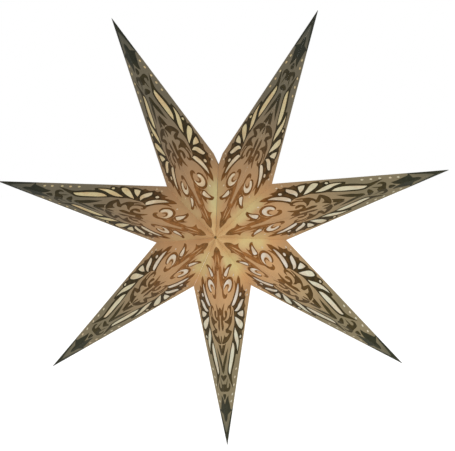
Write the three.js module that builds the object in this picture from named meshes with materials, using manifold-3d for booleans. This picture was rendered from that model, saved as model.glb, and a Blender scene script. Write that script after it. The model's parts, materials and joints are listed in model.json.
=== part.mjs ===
// Paper star lantern: seven folded paper rays closed around a pendant lampholder and its bulb.
// Millimetres, +Z up, the front of the star faces -Y.
// The origin is the top of the lampholder's neck, where the hanging cord enters.

import * as THREE from 'three';
import { mergeVertices } from 'three/addons/utils/BufferGeometryUtils.js';
import Module from 'manifold-3d';

const wasm = await Module();
wasm.setup();

// Star: the corners of its folded paper
const RAY_COUNT = 7;
const TIP_RADIUS = 310;
const NOTCH_RADIUS = 90;
const HALF_DEPTH = 90;

// Paper panels: one facet of a ray each, hinged on the creases of its outer face
const PAPER_THICKNESS = 0.5;
const WINDOW_DEPTH = 0.3;
const RIDGE_CREASE_GAP = 0.35;
const EDGE_CREASE_GAP = 0.2;
const SEAM_CREASE_GAP = 0.25;
const RIDGE_BEVEL_WIDTH = 7.6;
const EDGE_BEVEL_WIDTH = 0.35;
const APEX_HOLE_RADIUS = 3;
const APEX_BEVEL_WIDTH = 3;
const CORD_HOLE_CUT_DEPTH = 4.5;

// Closing tabs and hook-and-loop tapes inside the open seam at the top
const TOUCH_GAP = 0.3;
const TAB_THICKNESS = 0.6;
const TAB_WIDTH = 12;
const TAB_END = 46;
const TAPE_THICKNESS = 0.9;
const TAPE_INSET = 1.4;
const TAPE_WIDTH = 8;
const TAPE_START = 18;
const TAPE_END = 43;

// Holder cap: cord neck, seat cone and skirt
const NECK_RADIUS = 5;
const NECK_LENGTH = 10;
const CORD_BORE_RADIUS = 3.3;
const CAP_RADIUS = 14;
const CAP_WALL = 1.6;
const CAP_SKIRT = 10;
const CAP_CORE_LENGTH = 12.6;

// Cord grip screw in the neck
const GRIP_SCREW_DROP = 5;
const GRIP_SCREW_RADIUS = 1.5;
const GRIP_SCREW_REACH = 0.2;
const GRIP_HEAD_RADIUS = 2.4;
const GRIP_HEAD_LENGTH = 1.7;
const GRIP_SLOT_WIDTH = 0.6;
const GRIP_SLOT_DEPTH = 0.8;

// Holder body: spigot in the cap, and a skirt round the bulb's cap
const SPIGOT_LENGTH = 6.5;
const SPIGOT_WALL = 1.5;
const BODY_LENGTH = 38.5;
const BODY_WALL = 1.5;
const BODY_SHOULDER = 1.2;

// Contact block with its two terminal screws
const BLOCK_RISE = 6;
const BLOCK_FLANGE = 2.6;
const BLOCK_BOSS_RADIUS = 4;
const BLOCK_BOSS_LENGTH = 3.6;
const TERMINAL_SPACING = 11;
const TERMINAL_SHANK_RADIUS = 1.3;
const TERMINAL_SHANK_LENGTH = 5;
const TERMINAL_HEAD_RADIUS = 2.2;
const TERMINAL_HEAD_LENGTH = 1.5;
const TERMINAL_SLOT_WIDTH = 0.6;
const TERMINAL_SLOT_DEPTH = 0.7;

// Brass screw shell and centre contact
const SHELL_WALL = 0.6;
const SHELL_LENGTH = 26;
const SHELL_RIM = 1.4;
const CONTACT_LENGTH = 7.2;
const CONTACT_WIDTH = 3.2;
const CONTACT_THICKNESS = 0.5;
const CONTACT_CROWN = 0.8;

// Bulb: small screw cap, insulator, solder tip and a round glass
const THREAD_RADIUS = 6.95;
const THREAD_PITCH = 2.822;
const THREAD_DEPTH = 0.55;
const THREAD_TURNS = 4;
const THREAD_CLEARANCE = 0.35;
const BULB_CAP_WALL = 0.45;
const BULB_CAP_NECK = 1.6;
const BULB_CAP_SKIRT = 5.6;
const SOLDER_RADIUS = 2.4;
const SOLDER_HEIGHT = 1.5;
const INSULATOR_TOP_RADIUS = 2.9;
const INSULATOR_HEIGHT = 2.6;
const GLASS_RADIUS = 22.5;
const GLASS_WALL = 0.8;
const GLASS_LENGTH = 56;
const GLASS_NECK_LENGTH = 12;
const GLASS_SHOULDER = 15;

// Bulb inside: stem with two hubs, and upright filaments between them
const STEM_RADIUS = 1.4;
const STEM_FLARE_HEIGHT = 2;
const HUB_RADIUS = 6.6;
const HUB_THICKNESS = 1.2;
const HUB_DROP = 20;
const FILAMENT_COUNT = 4;
const FILAMENT_RADIUS = 0.85;
const FILAMENT_LENGTH = 29;
const FILAMENT_CIRCLE = 5;

// Facets of round pieces
const FINE_SEGMENTS = 28;
const SMALL_SEGMENTS = 14;
const BALL_STEPS = 8;

// Windows cut in one half of a ray's front or back.
// Each point is a share of the ridge length from the apex,
// and a share of the notch's distance from the ridge.
const WINDOW_SHARES = {
  bud: [[0.164, 0.348], [0.166, 0.267], [0.18, 0.187], [0.195, 0.241], [0.177, 0.307]],
  hook: [[0.248, 0.134], [0.223, 0.174], [0.214, 0.261], [0.22, 0.348], [0.24, 0.398],
    [0.263, 0.368], [0.271, 0.281], [0.249, 0.301], [0.235, 0.261], [0.235, 0.187]],
  first_leaf: [[0.266, 0.581], [0.3, 0.495], [0.344, 0.368], [0.349, 0.428], [0.331, 0.521],
    [0.3, 0.581], [0.279, 0.599]],
  second_leaf: [[0.378, 0.441], [0.387, 0.508], [0.384, 0.602], [0.356, 0.735], [0.35, 0.662],
    [0.369, 0.535]],
  small_leaf: [[0.4, 0.535], [0.415, 0.581], [0.434, 0.695], [0.406, 0.709]],
  third_leaf: [[0.406, 0.441], [0.46, 0.535], [0.485, 0.628], [0.469, 0.689], [0.443, 0.622],
    [0.421, 0.521]],
  fourth_leaf: [[0.455, 0.428], [0.483, 0.398], [0.53, 0.448], [0.578, 0.475], [0.533, 0.521],
    [0.489, 0.488]],
  long_leaf: [[0.517, 0.341], [0.582, 0.238], [0.635, 0.174], [0.657, 0.207], [0.62, 0.294],
    [0.57, 0.368], [0.533, 0.374]],
};

// Colours of the pieces
const FINISHES = {
  paper: { color: 0xa08468, roughness: 0.85, metalness: 0 },
  card: { color: 0xb8a68c, roughness: 0.9, metalness: 0 },
  tape: { color: 0xe8e4da, roughness: 0.95, metalness: 0 },
  holder_plastic: { color: 0xf0eee8, roughness: 0.45, metalness: 0 },
  contact_ceramic: { color: 0xe6e0d2, roughness: 0.6, metalness: 0 },
  brass: { color: 0xc9a24b, roughness: 0.35, metalness: 1 },
  steel: { color: 0xb9bcc0, roughness: 0.3, metalness: 1 },
  solder: { color: 0xc4c6c8, roughness: 0.4, metalness: 1 },
  insulator: { color: 0x1d1b1a, roughness: 0.3, metalness: 0 },
  bulb_glass: { color: 0xfff6e4, roughness: 0.25, metalness: 0 },
  stem_glass: { color: 0xe9edf0, roughness: 0.15, metalness: 0 },
  filament: { color: 0xffd27a, roughness: 0.6, metalness: 0 },
};

const lantern = new THREE.Group();

// Helpers

function addPiece(name, geometry, finish, parent = lantern) {
  const piece = new THREE.Mesh(geometry, new THREE.MeshStandardMaterial(FINISHES[finish]));
  piece.name = name;
  parent.add(piece);
  return piece;
}

function toSolid(geometry) {
  const bare = geometry.clone();
  bare.deleteAttribute('normal');
  bare.deleteAttribute('uv');
  const merged = mergeVertices(bare);
  return new wasm.Manifold(new wasm.Mesh({
    numProp: 3,
    vertProperties: Float32Array.from(merged.attributes.position.array),
    triVerts: Uint32Array.from(merged.index.array),
  }));
}

function toGeometry(solid) {
  const mesh = solid.getMesh();
  const geometry = new THREE.BufferGeometry();
  geometry.setAttribute('position', new THREE.BufferAttribute(Float32Array.from(mesh.vertProperties), 3));
  geometry.setIndex(Array.from(mesh.triVerts));
  geometry.computeVertexNormals();
  return geometry;
}

// A round piece about the Z axis, from its half section as [radius, height] points
function revolve(section, segments = FINE_SEGMENTS) {
  const points = section.map(([radius, height]) => new THREE.Vector2(radius, height));
  if (THREE.ShapeUtils.isClockWise(points)) points.reverse();
  points.push(points[0].clone());
  return new THREE.LatheGeometry(points, segments).rotateX(Math.PI / 2);
}

function cylinderUp(radius, low, high, segments = SMALL_SEGMENTS) {
  return new THREE.CylinderGeometry(radius, radius, high - low, segments)
    .rotateX(Math.PI / 2)
    .translate(0, 0, (low + high) / 2);
}

// Where two lines meet, each a point and an inward normal, moved inwards by its offset
function meeting(first, second, key) {
  const a = first.normal.dot(first.point) + first[key];
  const b = second.normal.dot(second.point) + second[key];
  const cross = first.normal.cross(second.normal);
  return new THREE.Vector2(
    (a * second.normal.y - b * first.normal.y) / cross,
    (b * first.normal.x - a * second.normal.x) / cross,
  );
}

// Star geometry: one ray lies along +X, its front apex at -Y and its notches at +Z and -Z

const HALF_ANGLE = Math.PI / RAY_COUNT;
const RIDGE_LENGTH = Math.hypot(TIP_RADIUS, HALF_DEPTH);
const SEAM_LENGTH = Math.hypot(NOTCH_RADIUS, HALF_DEPTH);

const tip = new THREE.Vector3(TIP_RADIUS, 0, 0);

function apexOf(face) {
  return new THREE.Vector3(0, -face * HALF_DEPTH, 0);
}

function notchOf(hand) {
  const notch = new THREE.Vector3(Math.cos(HALF_ANGLE), 0, hand * Math.sin(HALF_ANGLE));
  return notch.multiplyScalar(NOTCH_RADIUS);
}

// A panel's own axes: along its ridge, across it, and out of the lantern
function panelAxes(face, hand) {
  const apex = apexOf(face);
  const along = tip.clone().sub(apex).normalize();
  const toNotch = notchOf(hand).sub(apex);
  const notchAlong = toNotch.dot(along);
  const across = toNotch.clone().addScaledVector(along, -notchAlong);
  const notchAcross = across.length();
  across.normalize().multiplyScalar(face * hand);
  const outward = along.clone().cross(across);
  return { apex, along, across, outward, notchAlong, notchAcross };
}

const { notchAlong: NOTCH_ALONG, notchAcross: NOTCH_ACROSS } = panelAxes(1, 1);

// The crease lines round a panel, in its own axes, with the notch at +Y.
// outer is the gap to each crease on the outer face, and inner is where the inner face ends.
function panelLines(withCordHole) {
  const apexPoint = new THREE.Vector2(0, 0);
  const tipPoint = new THREE.Vector2(RIDGE_LENGTH, 0);
  const notchPoint = new THREE.Vector2(NOTCH_ALONG, NOTCH_ACROSS);
  const ridge = apexPoint.clone().sub(tipPoint).normalize();
  const edge = tipPoint.clone().sub(notchPoint).normalize();
  const seam = notchPoint.clone().sub(apexPoint).normalize();
  const inwardOf = (direction) => new THREE.Vector2(direction.y, -direction.x);
  const apexMiddle = seam.clone().sub(ridge).normalize();
  const notchMiddle = edge.clone().sub(seam).normalize();
  const ridgeInner = RIDGE_CREASE_GAP + RIDGE_BEVEL_WIDTH;
  const apexInner = ridgeInner / (2 * apexMiddle.y) + APEX_BEVEL_WIDTH;
  const lines = [
    { point: tipPoint, normal: inwardOf(ridge), outer: RIDGE_CREASE_GAP, inner: ridgeInner },
    { point: apexPoint, normal: apexMiddle, outer: APEX_HOLE_RADIUS, inner: apexInner },
    { point: apexPoint, normal: inwardOf(seam), outer: SEAM_CREASE_GAP, inner: SEAM_CREASE_GAP },
  ];
  if (withCordHole) {
    const depth = CORD_HOLE_CUT_DEPTH;
    lines.push({ point: notchPoint, normal: notchMiddle, outer: depth, inner: depth });
  }
  const edgeInner = EDGE_CREASE_GAP + EDGE_BEVEL_WIDTH;
  lines.push({ point: notchPoint, normal: inwardOf(edge), outer: EDGE_CREASE_GAP, inner: edgeInner });
  return lines;
}

function windowOutlines() {
  return Object.values(WINDOW_SHARES).map((outline) => outline.map(
    ([alongShare, acrossShare]) => new THREE.Vector2(alongShare * RIDGE_LENGTH, acrossShare * NOTCH_ACROSS),
  ));
}

// A panel as one closed body: outer face with sunk windows, inner face and bevelled edges.
// The panel lies at z = 0 and below, and side is 1 or -1 for a notch at +Y or -Y.
function panelGeometry(side, withCordHole) {
  const positions = [];
  const place = (point, height) => [point.x, side * point.y, height];
  const addTriangle = (a, b, c) => positions.push(...a, ...(side > 0 ? [...b, ...c] : [...c, ...b]));
  const addFlat = (contour, holes, height, up) => {
    const points = [contour, ...holes].flat();
    for (const face of THREE.ShapeUtils.triangulateShape(contour, holes)) {
      const [a, b, c] = face.map((index) => points[index]);
      const isUp = b.clone().sub(a).cross(c.clone().sub(a)) > 0;
      const [p, q, s] = isUp === up ? [a, b, c] : [a, c, b];
      addTriangle(place(p, height), place(q, height), place(s, height));
    }
  };
  const addWall = (upper, lower, upperHeight, lowerHeight) => {
    upper.forEach((from, index) => {
      const next = (index + 1) % upper.length;
      const below = place(lower[index], lowerHeight);
      const besideUpper = place(upper[next], upperHeight);
      addTriangle(place(from, upperHeight), below, besideUpper);
      addTriangle(besideUpper, below, place(lower[next], lowerHeight));
    });
  };
  const lines = panelLines(withCordHole);
  const loop = (key) => lines.map((line, index) => meeting(line, lines[(index + 1) % lines.length], key));
  const outer = loop('outer');
  const inner = loop('inner');
  if (THREE.ShapeUtils.isClockWise(outer)) {
    outer.reverse();
    inner.reverse();
  }
  const windows = windowOutlines();
  for (const outline of windows) {
    if (!THREE.ShapeUtils.isClockWise(outline)) outline.reverse();
  }
  addFlat(outer, windows, 0, true);
  addFlat(inner, [], -PAPER_THICKNESS, false);
  addWall(outer, inner, 0, -PAPER_THICKNESS);
  for (const outline of windows) {
    addWall(outline, outline, 0, -WINDOW_DEPTH);
    addFlat(outline, [], -WINDOW_DEPTH, true);
  }
  const geometry = new THREE.BufferGeometry();
  geometry.setAttribute('position', new THREE.Float32BufferAttribute(positions, 3));
  geometry.computeVertexNormals();
  return geometry;
}

// Where the tabs, the seat cone and the star hang from

const seamPanel = panelAxes(1, 1);
const seamNormal = new THREE.Vector3(-Math.sin(HALF_ANGLE), 0, Math.cos(HALF_ANGLE));
const SEAM_LEAN = Math.acos(Math.abs(seamPanel.outward.dot(seamNormal)));
const TAPE_START_X = TOUCH_GAP / 2;
const TAB_START_X = TAPE_START_X + TAPE_THICKNESS + TOUCH_GAP;
const TAB_TOP = (TOUCH_GAP + PAPER_THICKNESS) / Math.sin(SEAM_LEAN) - TAB_START_X / Math.tan(SEAM_LEAN);
const TAB_BOTTOM = TAB_TOP + TAB_WIDTH;
const CONE_SLOPE = NOTCH_RADIUS / HALF_DEPTH;
const CONE_POINT = NOTCH_RADIUS - (TAB_BOTTOM + TOUCH_GAP) * SEAM_LENGTH / HALF_DEPTH;
const STAR_DROP = CONE_POINT - NECK_RADIUS * CONE_SLOPE + NECK_LENGTH;

const star = new THREE.Group();
star.position.z = -STAR_DROP;
lantern.add(star);

// Rays: numbered clockwise from the open seam, seen from the front.
// Left is a ray's anticlockwise side, seen from the front.

function addRay(number) {
  const ray = new THREE.Group();
  ray.rotation.y = -(Math.PI / 2 - HALF_ANGLE - (number - 1) * 2 * HALF_ANGLE);
  star.add(ray);
  for (const [faceName, face] of [['front', 1], ['back', -1]]) {
    for (const [handName, hand] of [['left', 1], ['right', -1]]) {
      const byOpenSeam = (number === 1 && hand === 1) || (number === RAY_COUNT && hand === -1);
      const { apex, along, across, outward } = panelAxes(face, hand);
      const geometry = panelGeometry(face * hand, byOpenSeam);
      const panel = addPiece(`ray_${number}_${faceName}_${handName}`, geometry, 'paper', ray);
      panel.applyMatrix4(new THREE.Matrix4().makeBasis(along, across, outward).setPosition(apex));
    }
  }
}

for (let number = 1; number <= RAY_COUNT; number += 1) addRay(number);

// Closing tabs and tapes: flat plates beside the plane x = 0.
// A point is given by its distance along the seam from the notch, and by its depth inside it.

function besideSeam(distance, depth) {
  return new THREE.Vector2(
    (distance * HALF_DEPTH - depth * NOTCH_RADIUS) / SEAM_LENGTH,
    NOTCH_RADIUS - (distance * NOTCH_RADIUS + depth * HALF_DEPTH) / SEAM_LENGTH,
  );
}

function besideNeck(depth) {
  const reach = NECK_RADIUS + TOUCH_GAP;
  return besideSeam((reach * SEAM_LENGTH + depth * NOTCH_RADIUS) / HALF_DEPTH, depth);
}

// sideX is 1 for ray 1's side of the seam and -1 for the last ray's side
function seamPlate(corners, startX, thickness, face, sideX) {
  const outline = new THREE.Shape(corners);
  const plate = new THREE.ExtrudeGeometry(outline, { depth: thickness, bevelEnabled: false });
  const backwards = new THREE.Vector3(0, -face, 0);
  const upwards = new THREE.Vector3(0, 0, 1);
  const sideways = new THREE.Vector3(-face, 0, 0);
  plate.applyMatrix4(new THREE.Matrix4().makeBasis(backwards, upwards, sideways));
  const nearX = -face === sideX ? startX : startX + thickness;
  return plate.translate(sideX * nearX, 0, 0);
}

const tabCorners = [
  besideNeck(TAB_TOP),
  besideNeck(TAB_BOTTOM),
  besideSeam(TAB_END, TAB_BOTTOM),
  besideSeam(TAB_END, TAB_TOP),
];
const tapeCorners = [
  besideSeam(TAPE_START, TAPE_INSET),
  besideSeam(TAPE_START, TAPE_INSET + TAPE_WIDTH),
  besideSeam(TAPE_END, TAPE_INSET + TAPE_WIDTH),
  besideSeam(TAPE_END, TAPE_INSET),
];

for (const [faceName, face] of [['front', 1], ['back', -1]]) {
  for (const [handName, tapeName, sideX] of [['left', 'hook', -1], ['right', 'loop', 1]]) {
    const tab = seamPlate(tabCorners, TAB_START_X, TAB_THICKNESS, face, sideX);
    addPiece(`closing_tab_${faceName}_${handName}`, tab, 'card', star);
    const tape = seamPlate(tapeCorners, TAPE_START_X, TAPE_THICKNESS, face, sideX);
    addPiece(`${tapeName}_tape_${faceName}`, tape, 'tape', star);
  }
}

// Lampholder: every height is measured from the origin at the top of the neck

const CONE_BOTTOM = -NECK_LENGTH - (CAP_RADIUS - NECK_RADIUS) * CONE_SLOPE;
const CAP_BOTTOM = CONE_BOTTOM - CAP_SKIRT;
const CAP_CAVITY_RADIUS = CAP_RADIUS - CAP_WALL;
const CAP_CAVITY_TOP = -CAP_CORE_LENGTH - (CAP_CAVITY_RADIUS - CORD_BORE_RADIUS) * CONE_SLOPE;

const capShell = toSolid(revolve([
  [CORD_BORE_RADIUS, 0],
  [NECK_RADIUS, 0],
  [NECK_RADIUS, -NECK_LENGTH],
  [CAP_RADIUS, CONE_BOTTOM],
  [CAP_RADIUS, CAP_BOTTOM],
  [CAP_CAVITY_RADIUS, CAP_BOTTOM],
  [CAP_CAVITY_RADIUS, CAP_CAVITY_TOP],
  [CORD_BORE_RADIUS, -CAP_CORE_LENGTH],
]));
const gripHole = cylinderUp(GRIP_SCREW_RADIUS + TOUCH_GAP, 0, CAP_RADIUS)
  .rotateY(Math.PI / 2)
  .translate(0, 0, -GRIP_SCREW_DROP);
addPiece('holder_cap', toGeometry(capShell.subtract(toSolid(gripHole))), 'holder_plastic');

// Its thread starts inside the cord bore and its head stands off the neck
const GRIP_HEAD_START = NECK_RADIUS + TOUCH_GAP;
const gripScrew = toSolid(revolve([
  [0, CORD_BORE_RADIUS - GRIP_SCREW_REACH],
  [GRIP_SCREW_RADIUS, CORD_BORE_RADIUS - GRIP_SCREW_REACH],
  [GRIP_SCREW_RADIUS, GRIP_HEAD_START],
  [GRIP_HEAD_RADIUS, GRIP_HEAD_START],
  [GRIP_HEAD_RADIUS, GRIP_HEAD_START + GRIP_HEAD_LENGTH],
  [0, GRIP_HEAD_START + GRIP_HEAD_LENGTH],
], SMALL_SEGMENTS));
const gripSlot = new THREE.BoxGeometry(GRIP_SLOT_WIDTH, 2 * CAP_RADIUS, 2 * GRIP_SLOT_DEPTH)
  .translate(0, 0, GRIP_HEAD_START + GRIP_HEAD_LENGTH);
const gripPiece = toGeometry(gripScrew.subtract(toSolid(gripSlot)))
  .rotateY(Math.PI / 2)
  .translate(0, 0, -GRIP_SCREW_DROP);
addPiece('cord_grip_screw', gripPiece, 'steel');

// Holder body: its spigot stands inside the cap's skirt
const BODY_TOP = CAP_BOTTOM - TOUCH_GAP;
const BODY_BOTTOM = BODY_TOP - BODY_LENGTH;
const SPIGOT_TOP = BODY_TOP + SPIGOT_LENGTH;
const SPIGOT_RADIUS = CAP_CAVITY_RADIUS - TOUCH_GAP;
const SPIGOT_BORE = SPIGOT_RADIUS - SPIGOT_WALL;
const BODY_BORE = CAP_RADIUS - BODY_WALL;
const SHOULDER_BOTTOM = BODY_TOP - BODY_SHOULDER;
addPiece('holder_body', revolve([
  [SPIGOT_RADIUS, SPIGOT_TOP],
  [SPIGOT_RADIUS, BODY_TOP],
  [CAP_RADIUS, BODY_TOP],
  [CAP_RADIUS, BODY_BOTTOM],
  [BODY_BORE, BODY_BOTTOM],
  [BODY_BORE, SHOULDER_BOTTOM],
  [SPIGOT_BORE, SHOULDER_BOTTOM],
  [SPIGOT_BORE, SPIGOT_TOP],
]), 'holder_plastic');

// Contact block: stands up in the spigot, with its flange under the body's shoulder
const BLOCK_TOP = SHOULDER_BOTTOM + BLOCK_RISE;
const FLANGE_TOP = SHOULDER_BOTTOM - TOUCH_GAP;
const FLANGE_BOTTOM = FLANGE_TOP - BLOCK_FLANGE;
const BOSS_BOTTOM = FLANGE_BOTTOM - BLOCK_BOSS_LENGTH;
const terminalHole = cylinderUp(
  TERMINAL_SHANK_RADIUS + TOUCH_GAP,
  BLOCK_TOP - TERMINAL_SHANK_LENGTH,
  CAP_RADIUS,
);
let blockSolid = toSolid(revolve([
  [0, BLOCK_TOP],
  [SPIGOT_BORE - TOUCH_GAP, BLOCK_TOP],
  [SPIGOT_BORE - TOUCH_GAP, FLANGE_TOP],
  [BODY_BORE - TOUCH_GAP, FLANGE_TOP],
  [BODY_BORE - TOUCH_GAP, FLANGE_BOTTOM],
  [BLOCK_BOSS_RADIUS, FLANGE_BOTTOM],
  [BLOCK_BOSS_RADIUS, BOSS_BOTTOM],
  [0, BOSS_BOTTOM],
]));
for (const side of [-1, 1]) {
  const hole = terminalHole.clone().translate(side * TERMINAL_SPACING / 2, 0, 0);
  blockSolid = blockSolid.subtract(toSolid(hole));
}
addPiece('contact_block', toGeometry(blockSolid), 'contact_ceramic');

// Terminal screws: slotted heads just over the block
const TERMINAL_HEAD_LOW = BLOCK_TOP + TOUCH_GAP;
const TERMINAL_HEAD_HIGH = TERMINAL_HEAD_LOW + TERMINAL_HEAD_LENGTH;
const terminalScrew = toSolid(revolve([
  [0, BLOCK_TOP - TERMINAL_SHANK_LENGTH + TOUCH_GAP],
  [TERMINAL_SHANK_RADIUS, BLOCK_TOP - TERMINAL_SHANK_LENGTH + TOUCH_GAP],
  [TERMINAL_SHANK_RADIUS, TERMINAL_HEAD_LOW],
  [TERMINAL_HEAD_RADIUS, TERMINAL_HEAD_LOW],
  [TERMINAL_HEAD_RADIUS, TERMINAL_HEAD_HIGH],
  [0, TERMINAL_HEAD_HIGH],
], SMALL_SEGMENTS));
const terminalSlot = new THREE.BoxGeometry(TERMINAL_SLOT_WIDTH, 2 * CAP_RADIUS, 2 * TERMINAL_SLOT_DEPTH)
  .translate(0, 0, TERMINAL_HEAD_HIGH);
for (const [name, side] of [['terminal_screw_live', -1], ['terminal_screw_neutral', 1]]) {
  const screw = toGeometry(terminalScrew.subtract(toSolid(terminalSlot)));
  addPiece(name, screw.translate(side * TERMINAL_SPACING / 2, 0, 0), 'brass');
}

// Screw shell: a brass tube under the block's flange, rimmed at its top
const SHELL_BORE = THREAD_RADIUS + THREAD_CLEARANCE;
const SHELL_RADIUS = SHELL_BORE + SHELL_WALL;
const SHELL_TOP = FLANGE_BOTTOM - TOUCH_GAP;
const SHELL_BOTTOM = SHELL_TOP - SHELL_LENGTH;
addPiece('screw_shell', revolve([
  [SHELL_BORE, SHELL_TOP],
  [SHELL_RADIUS + SHELL_RIM, SHELL_TOP],
  [SHELL_RADIUS + SHELL_RIM, SHELL_TOP - SHELL_WALL],
  [SHELL_RADIUS, SHELL_TOP - SHELL_WALL],
  [SHELL_RADIUS, SHELL_BOTTOM],
  [SHELL_BORE, SHELL_BOTTOM],
]), 'brass');

// Centre contact: a crowned brass tongue under the block's boss
const CONTACT_TOP = BOSS_BOTTOM - TOUCH_GAP;
const CONTACT_BOTTOM = CONTACT_TOP - CONTACT_THICKNESS - CONTACT_CROWN;
const tongue = new THREE.Shape([
  new THREE.Vector2(-CONTACT_LENGTH / 2, CONTACT_TOP),
  new THREE.Vector2(-CONTACT_LENGTH / 2, CONTACT_TOP - CONTACT_THICKNESS),
  new THREE.Vector2(-CONTACT_WIDTH / 2, CONTACT_BOTTOM),
  new THREE.Vector2(CONTACT_WIDTH / 2, CONTACT_BOTTOM),
  new THREE.Vector2(CONTACT_LENGTH / 2, CONTACT_TOP - CONTACT_THICKNESS),
  new THREE.Vector2(CONTACT_LENGTH / 2, CONTACT_TOP),
]);
const tonguePiece = new THREE.ExtrudeGeometry(tongue, { depth: CONTACT_WIDTH, bevelEnabled: false })
  .rotateX(Math.PI / 2)
  .translate(0, CONTACT_WIDTH / 2, 0);
addPiece('centre_contact', tonguePiece, 'brass');

// Bulb: solder tip, insulator and screw cap, from the centre contact downwards
const SOLDER_TOP = CONTACT_BOTTOM - TOUCH_GAP;
const SOLDER_BOTTOM = SOLDER_TOP - SOLDER_HEIGHT;
addPiece('bulb_contact', revolve([
  [0, SOLDER_TOP],
  [SOLDER_RADIUS / 2, SOLDER_TOP],
  [SOLDER_RADIUS, SOLDER_BOTTOM + SOLDER_HEIGHT / 2],
  [SOLDER_RADIUS, SOLDER_BOTTOM],
  [0, SOLDER_BOTTOM],
], SMALL_SEGMENTS), 'solder');

const INSULATOR_TOP = SOLDER_BOTTOM - TOUCH_GAP;
const INSULATOR_BOTTOM = INSULATOR_TOP - INSULATOR_HEIGHT;
const THREAD_ROOT = THREAD_RADIUS - THREAD_DEPTH;
const BULB_CAP_BORE = THREAD_ROOT - BULB_CAP_WALL;
addPiece('bulb_insulator', revolve([
  [0, INSULATOR_TOP],
  [INSULATOR_TOP_RADIUS, INSULATOR_TOP],
  [THREAD_ROOT, INSULATOR_BOTTOM],
  [0, INSULATOR_BOTTOM],
], FINE_SEGMENTS), 'insulator');

const BULB_CAP_TOP = INSULATOR_BOTTOM - TOUCH_GAP;
const THREAD_TOP = BULB_CAP_TOP - BULB_CAP_NECK;
const THREAD_BOTTOM = THREAD_TOP - THREAD_TURNS * THREAD_PITCH;
const BULB_CAP_BOTTOM = THREAD_BOTTOM - BULB_CAP_SKIRT;
const capSection = [[BULB_CAP_BORE, BULB_CAP_TOP], [THREAD_ROOT, BULB_CAP_TOP]];
for (let turn = 0; turn < THREAD_TURNS; turn += 1) {
  const rootHeight = THREAD_TOP - turn * THREAD_PITCH;
  capSection.push([THREAD_ROOT, rootHeight], [THREAD_RADIUS, rootHeight - THREAD_PITCH / 2]);
}
capSection.push([THREAD_ROOT, THREAD_BOTTOM], [THREAD_ROOT, BULB_CAP_BOTTOM]);
capSection.push([BULB_CAP_BORE, BULB_CAP_BOTTOM]);
addPiece('bulb_cap', revolve(capSection), 'brass');

// Bulb glass: a neck inside the cap, a shoulder and a ball, open at the top of the neck
const GLASS_TOP = BULB_CAP_BOTTOM + GLASS_NECK_LENGTH;
const GLASS_NECK_RADIUS = BULB_CAP_BORE - TOUCH_GAP;
const GLASS_BOTTOM = BULB_CAP_BOTTOM - GLASS_LENGTH;
const BALL_CENTRE = GLASS_BOTTOM + GLASS_RADIUS;
const SHOULDER_HEIGHT = BULB_CAP_BOTTOM - GLASS_SHOULDER;

function glassSection(inset) {
  const ball = GLASS_RADIUS - inset;
  const neck = GLASS_NECK_RADIUS - inset;
  const section = [[neck, GLASS_TOP], [neck, BULB_CAP_BOTTOM - TOUCH_GAP]];
  const start = Math.asin((SHOULDER_HEIGHT - BALL_CENTRE) / GLASS_RADIUS);
  for (let step = 0; step <= BALL_STEPS; step += 1) {
    const angle = start - (start + Math.PI / 2) * step / BALL_STEPS;
    section.push([step === BALL_STEPS ? 0 : ball * Math.cos(angle), BALL_CENTRE + ball * Math.sin(angle)]);
  }
  return section;
}

addPiece('bulb_glass', revolve([...glassSection(0), ...glassSection(GLASS_WALL).reverse()]), 'bulb_glass');

// Stem: a flare in the glass neck, a rod and two hubs
const FLARE_RADIUS = GLASS_NECK_RADIUS - GLASS_WALL - TOUCH_GAP;
const FLARE_BOTTOM = GLASS_TOP - STEM_FLARE_HEIGHT;
const UPPER_HUB_TOP = GLASS_TOP - HUB_DROP;
const UPPER_HUB_BOTTOM = UPPER_HUB_TOP - HUB_THICKNESS;
const FILAMENT_TOP = UPPER_HUB_BOTTOM - TOUCH_GAP;
const FILAMENT_BOTTOM = FILAMENT_TOP - FILAMENT_LENGTH;
const LOWER_HUB_TOP = FILAMENT_BOTTOM - TOUCH_GAP;
const LOWER_HUB_BOTTOM = LOWER_HUB_TOP - HUB_THICKNESS;
addPiece('bulb_stem', revolve([
  [0, GLASS_TOP],
  [FLARE_RADIUS, GLASS_TOP],
  [FLARE_RADIUS, FLARE_BOTTOM],
  [STEM_RADIUS, FLARE_BOTTOM],
  [STEM_RADIUS, UPPER_HUB_TOP],
  [HUB_RADIUS, UPPER_HUB_TOP],
  [HUB_RADIUS, UPPER_HUB_BOTTOM],
  [STEM_RADIUS, UPPER_HUB_BOTTOM],
  [STEM_RADIUS, LOWER_HUB_TOP],
  [HUB_RADIUS, LOWER_HUB_TOP],
  [HUB_RADIUS, LOWER_HUB_BOTTOM],
  [0, LOWER_HUB_BOTTOM],
], SMALL_SEGMENTS), 'stem_glass');

for (let index = 0; index < FILAMENT_COUNT; index += 1) {
  const angle = Math.PI / FILAMENT_COUNT + index * 2 * Math.PI / FILAMENT_COUNT;
  const filament = cylinderUp(FILAMENT_RADIUS, FILAMENT_BOTTOM, FILAMENT_TOP)
    .translate(FILAMENT_CIRCLE * Math.cos(angle), FILAMENT_CIRCLE * Math.sin(angle), 0);
  addPiece(`filament_${index + 1}`, filament, 'filament');
}

export default lantern;
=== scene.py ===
"""Paper star lantern: pierced and printed paper rays round a lampholder and its bulb."""

import itertools
import json
import math

import bpy
import numpy as np
from mathutils import Matrix, Vector, geometry, noise

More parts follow.
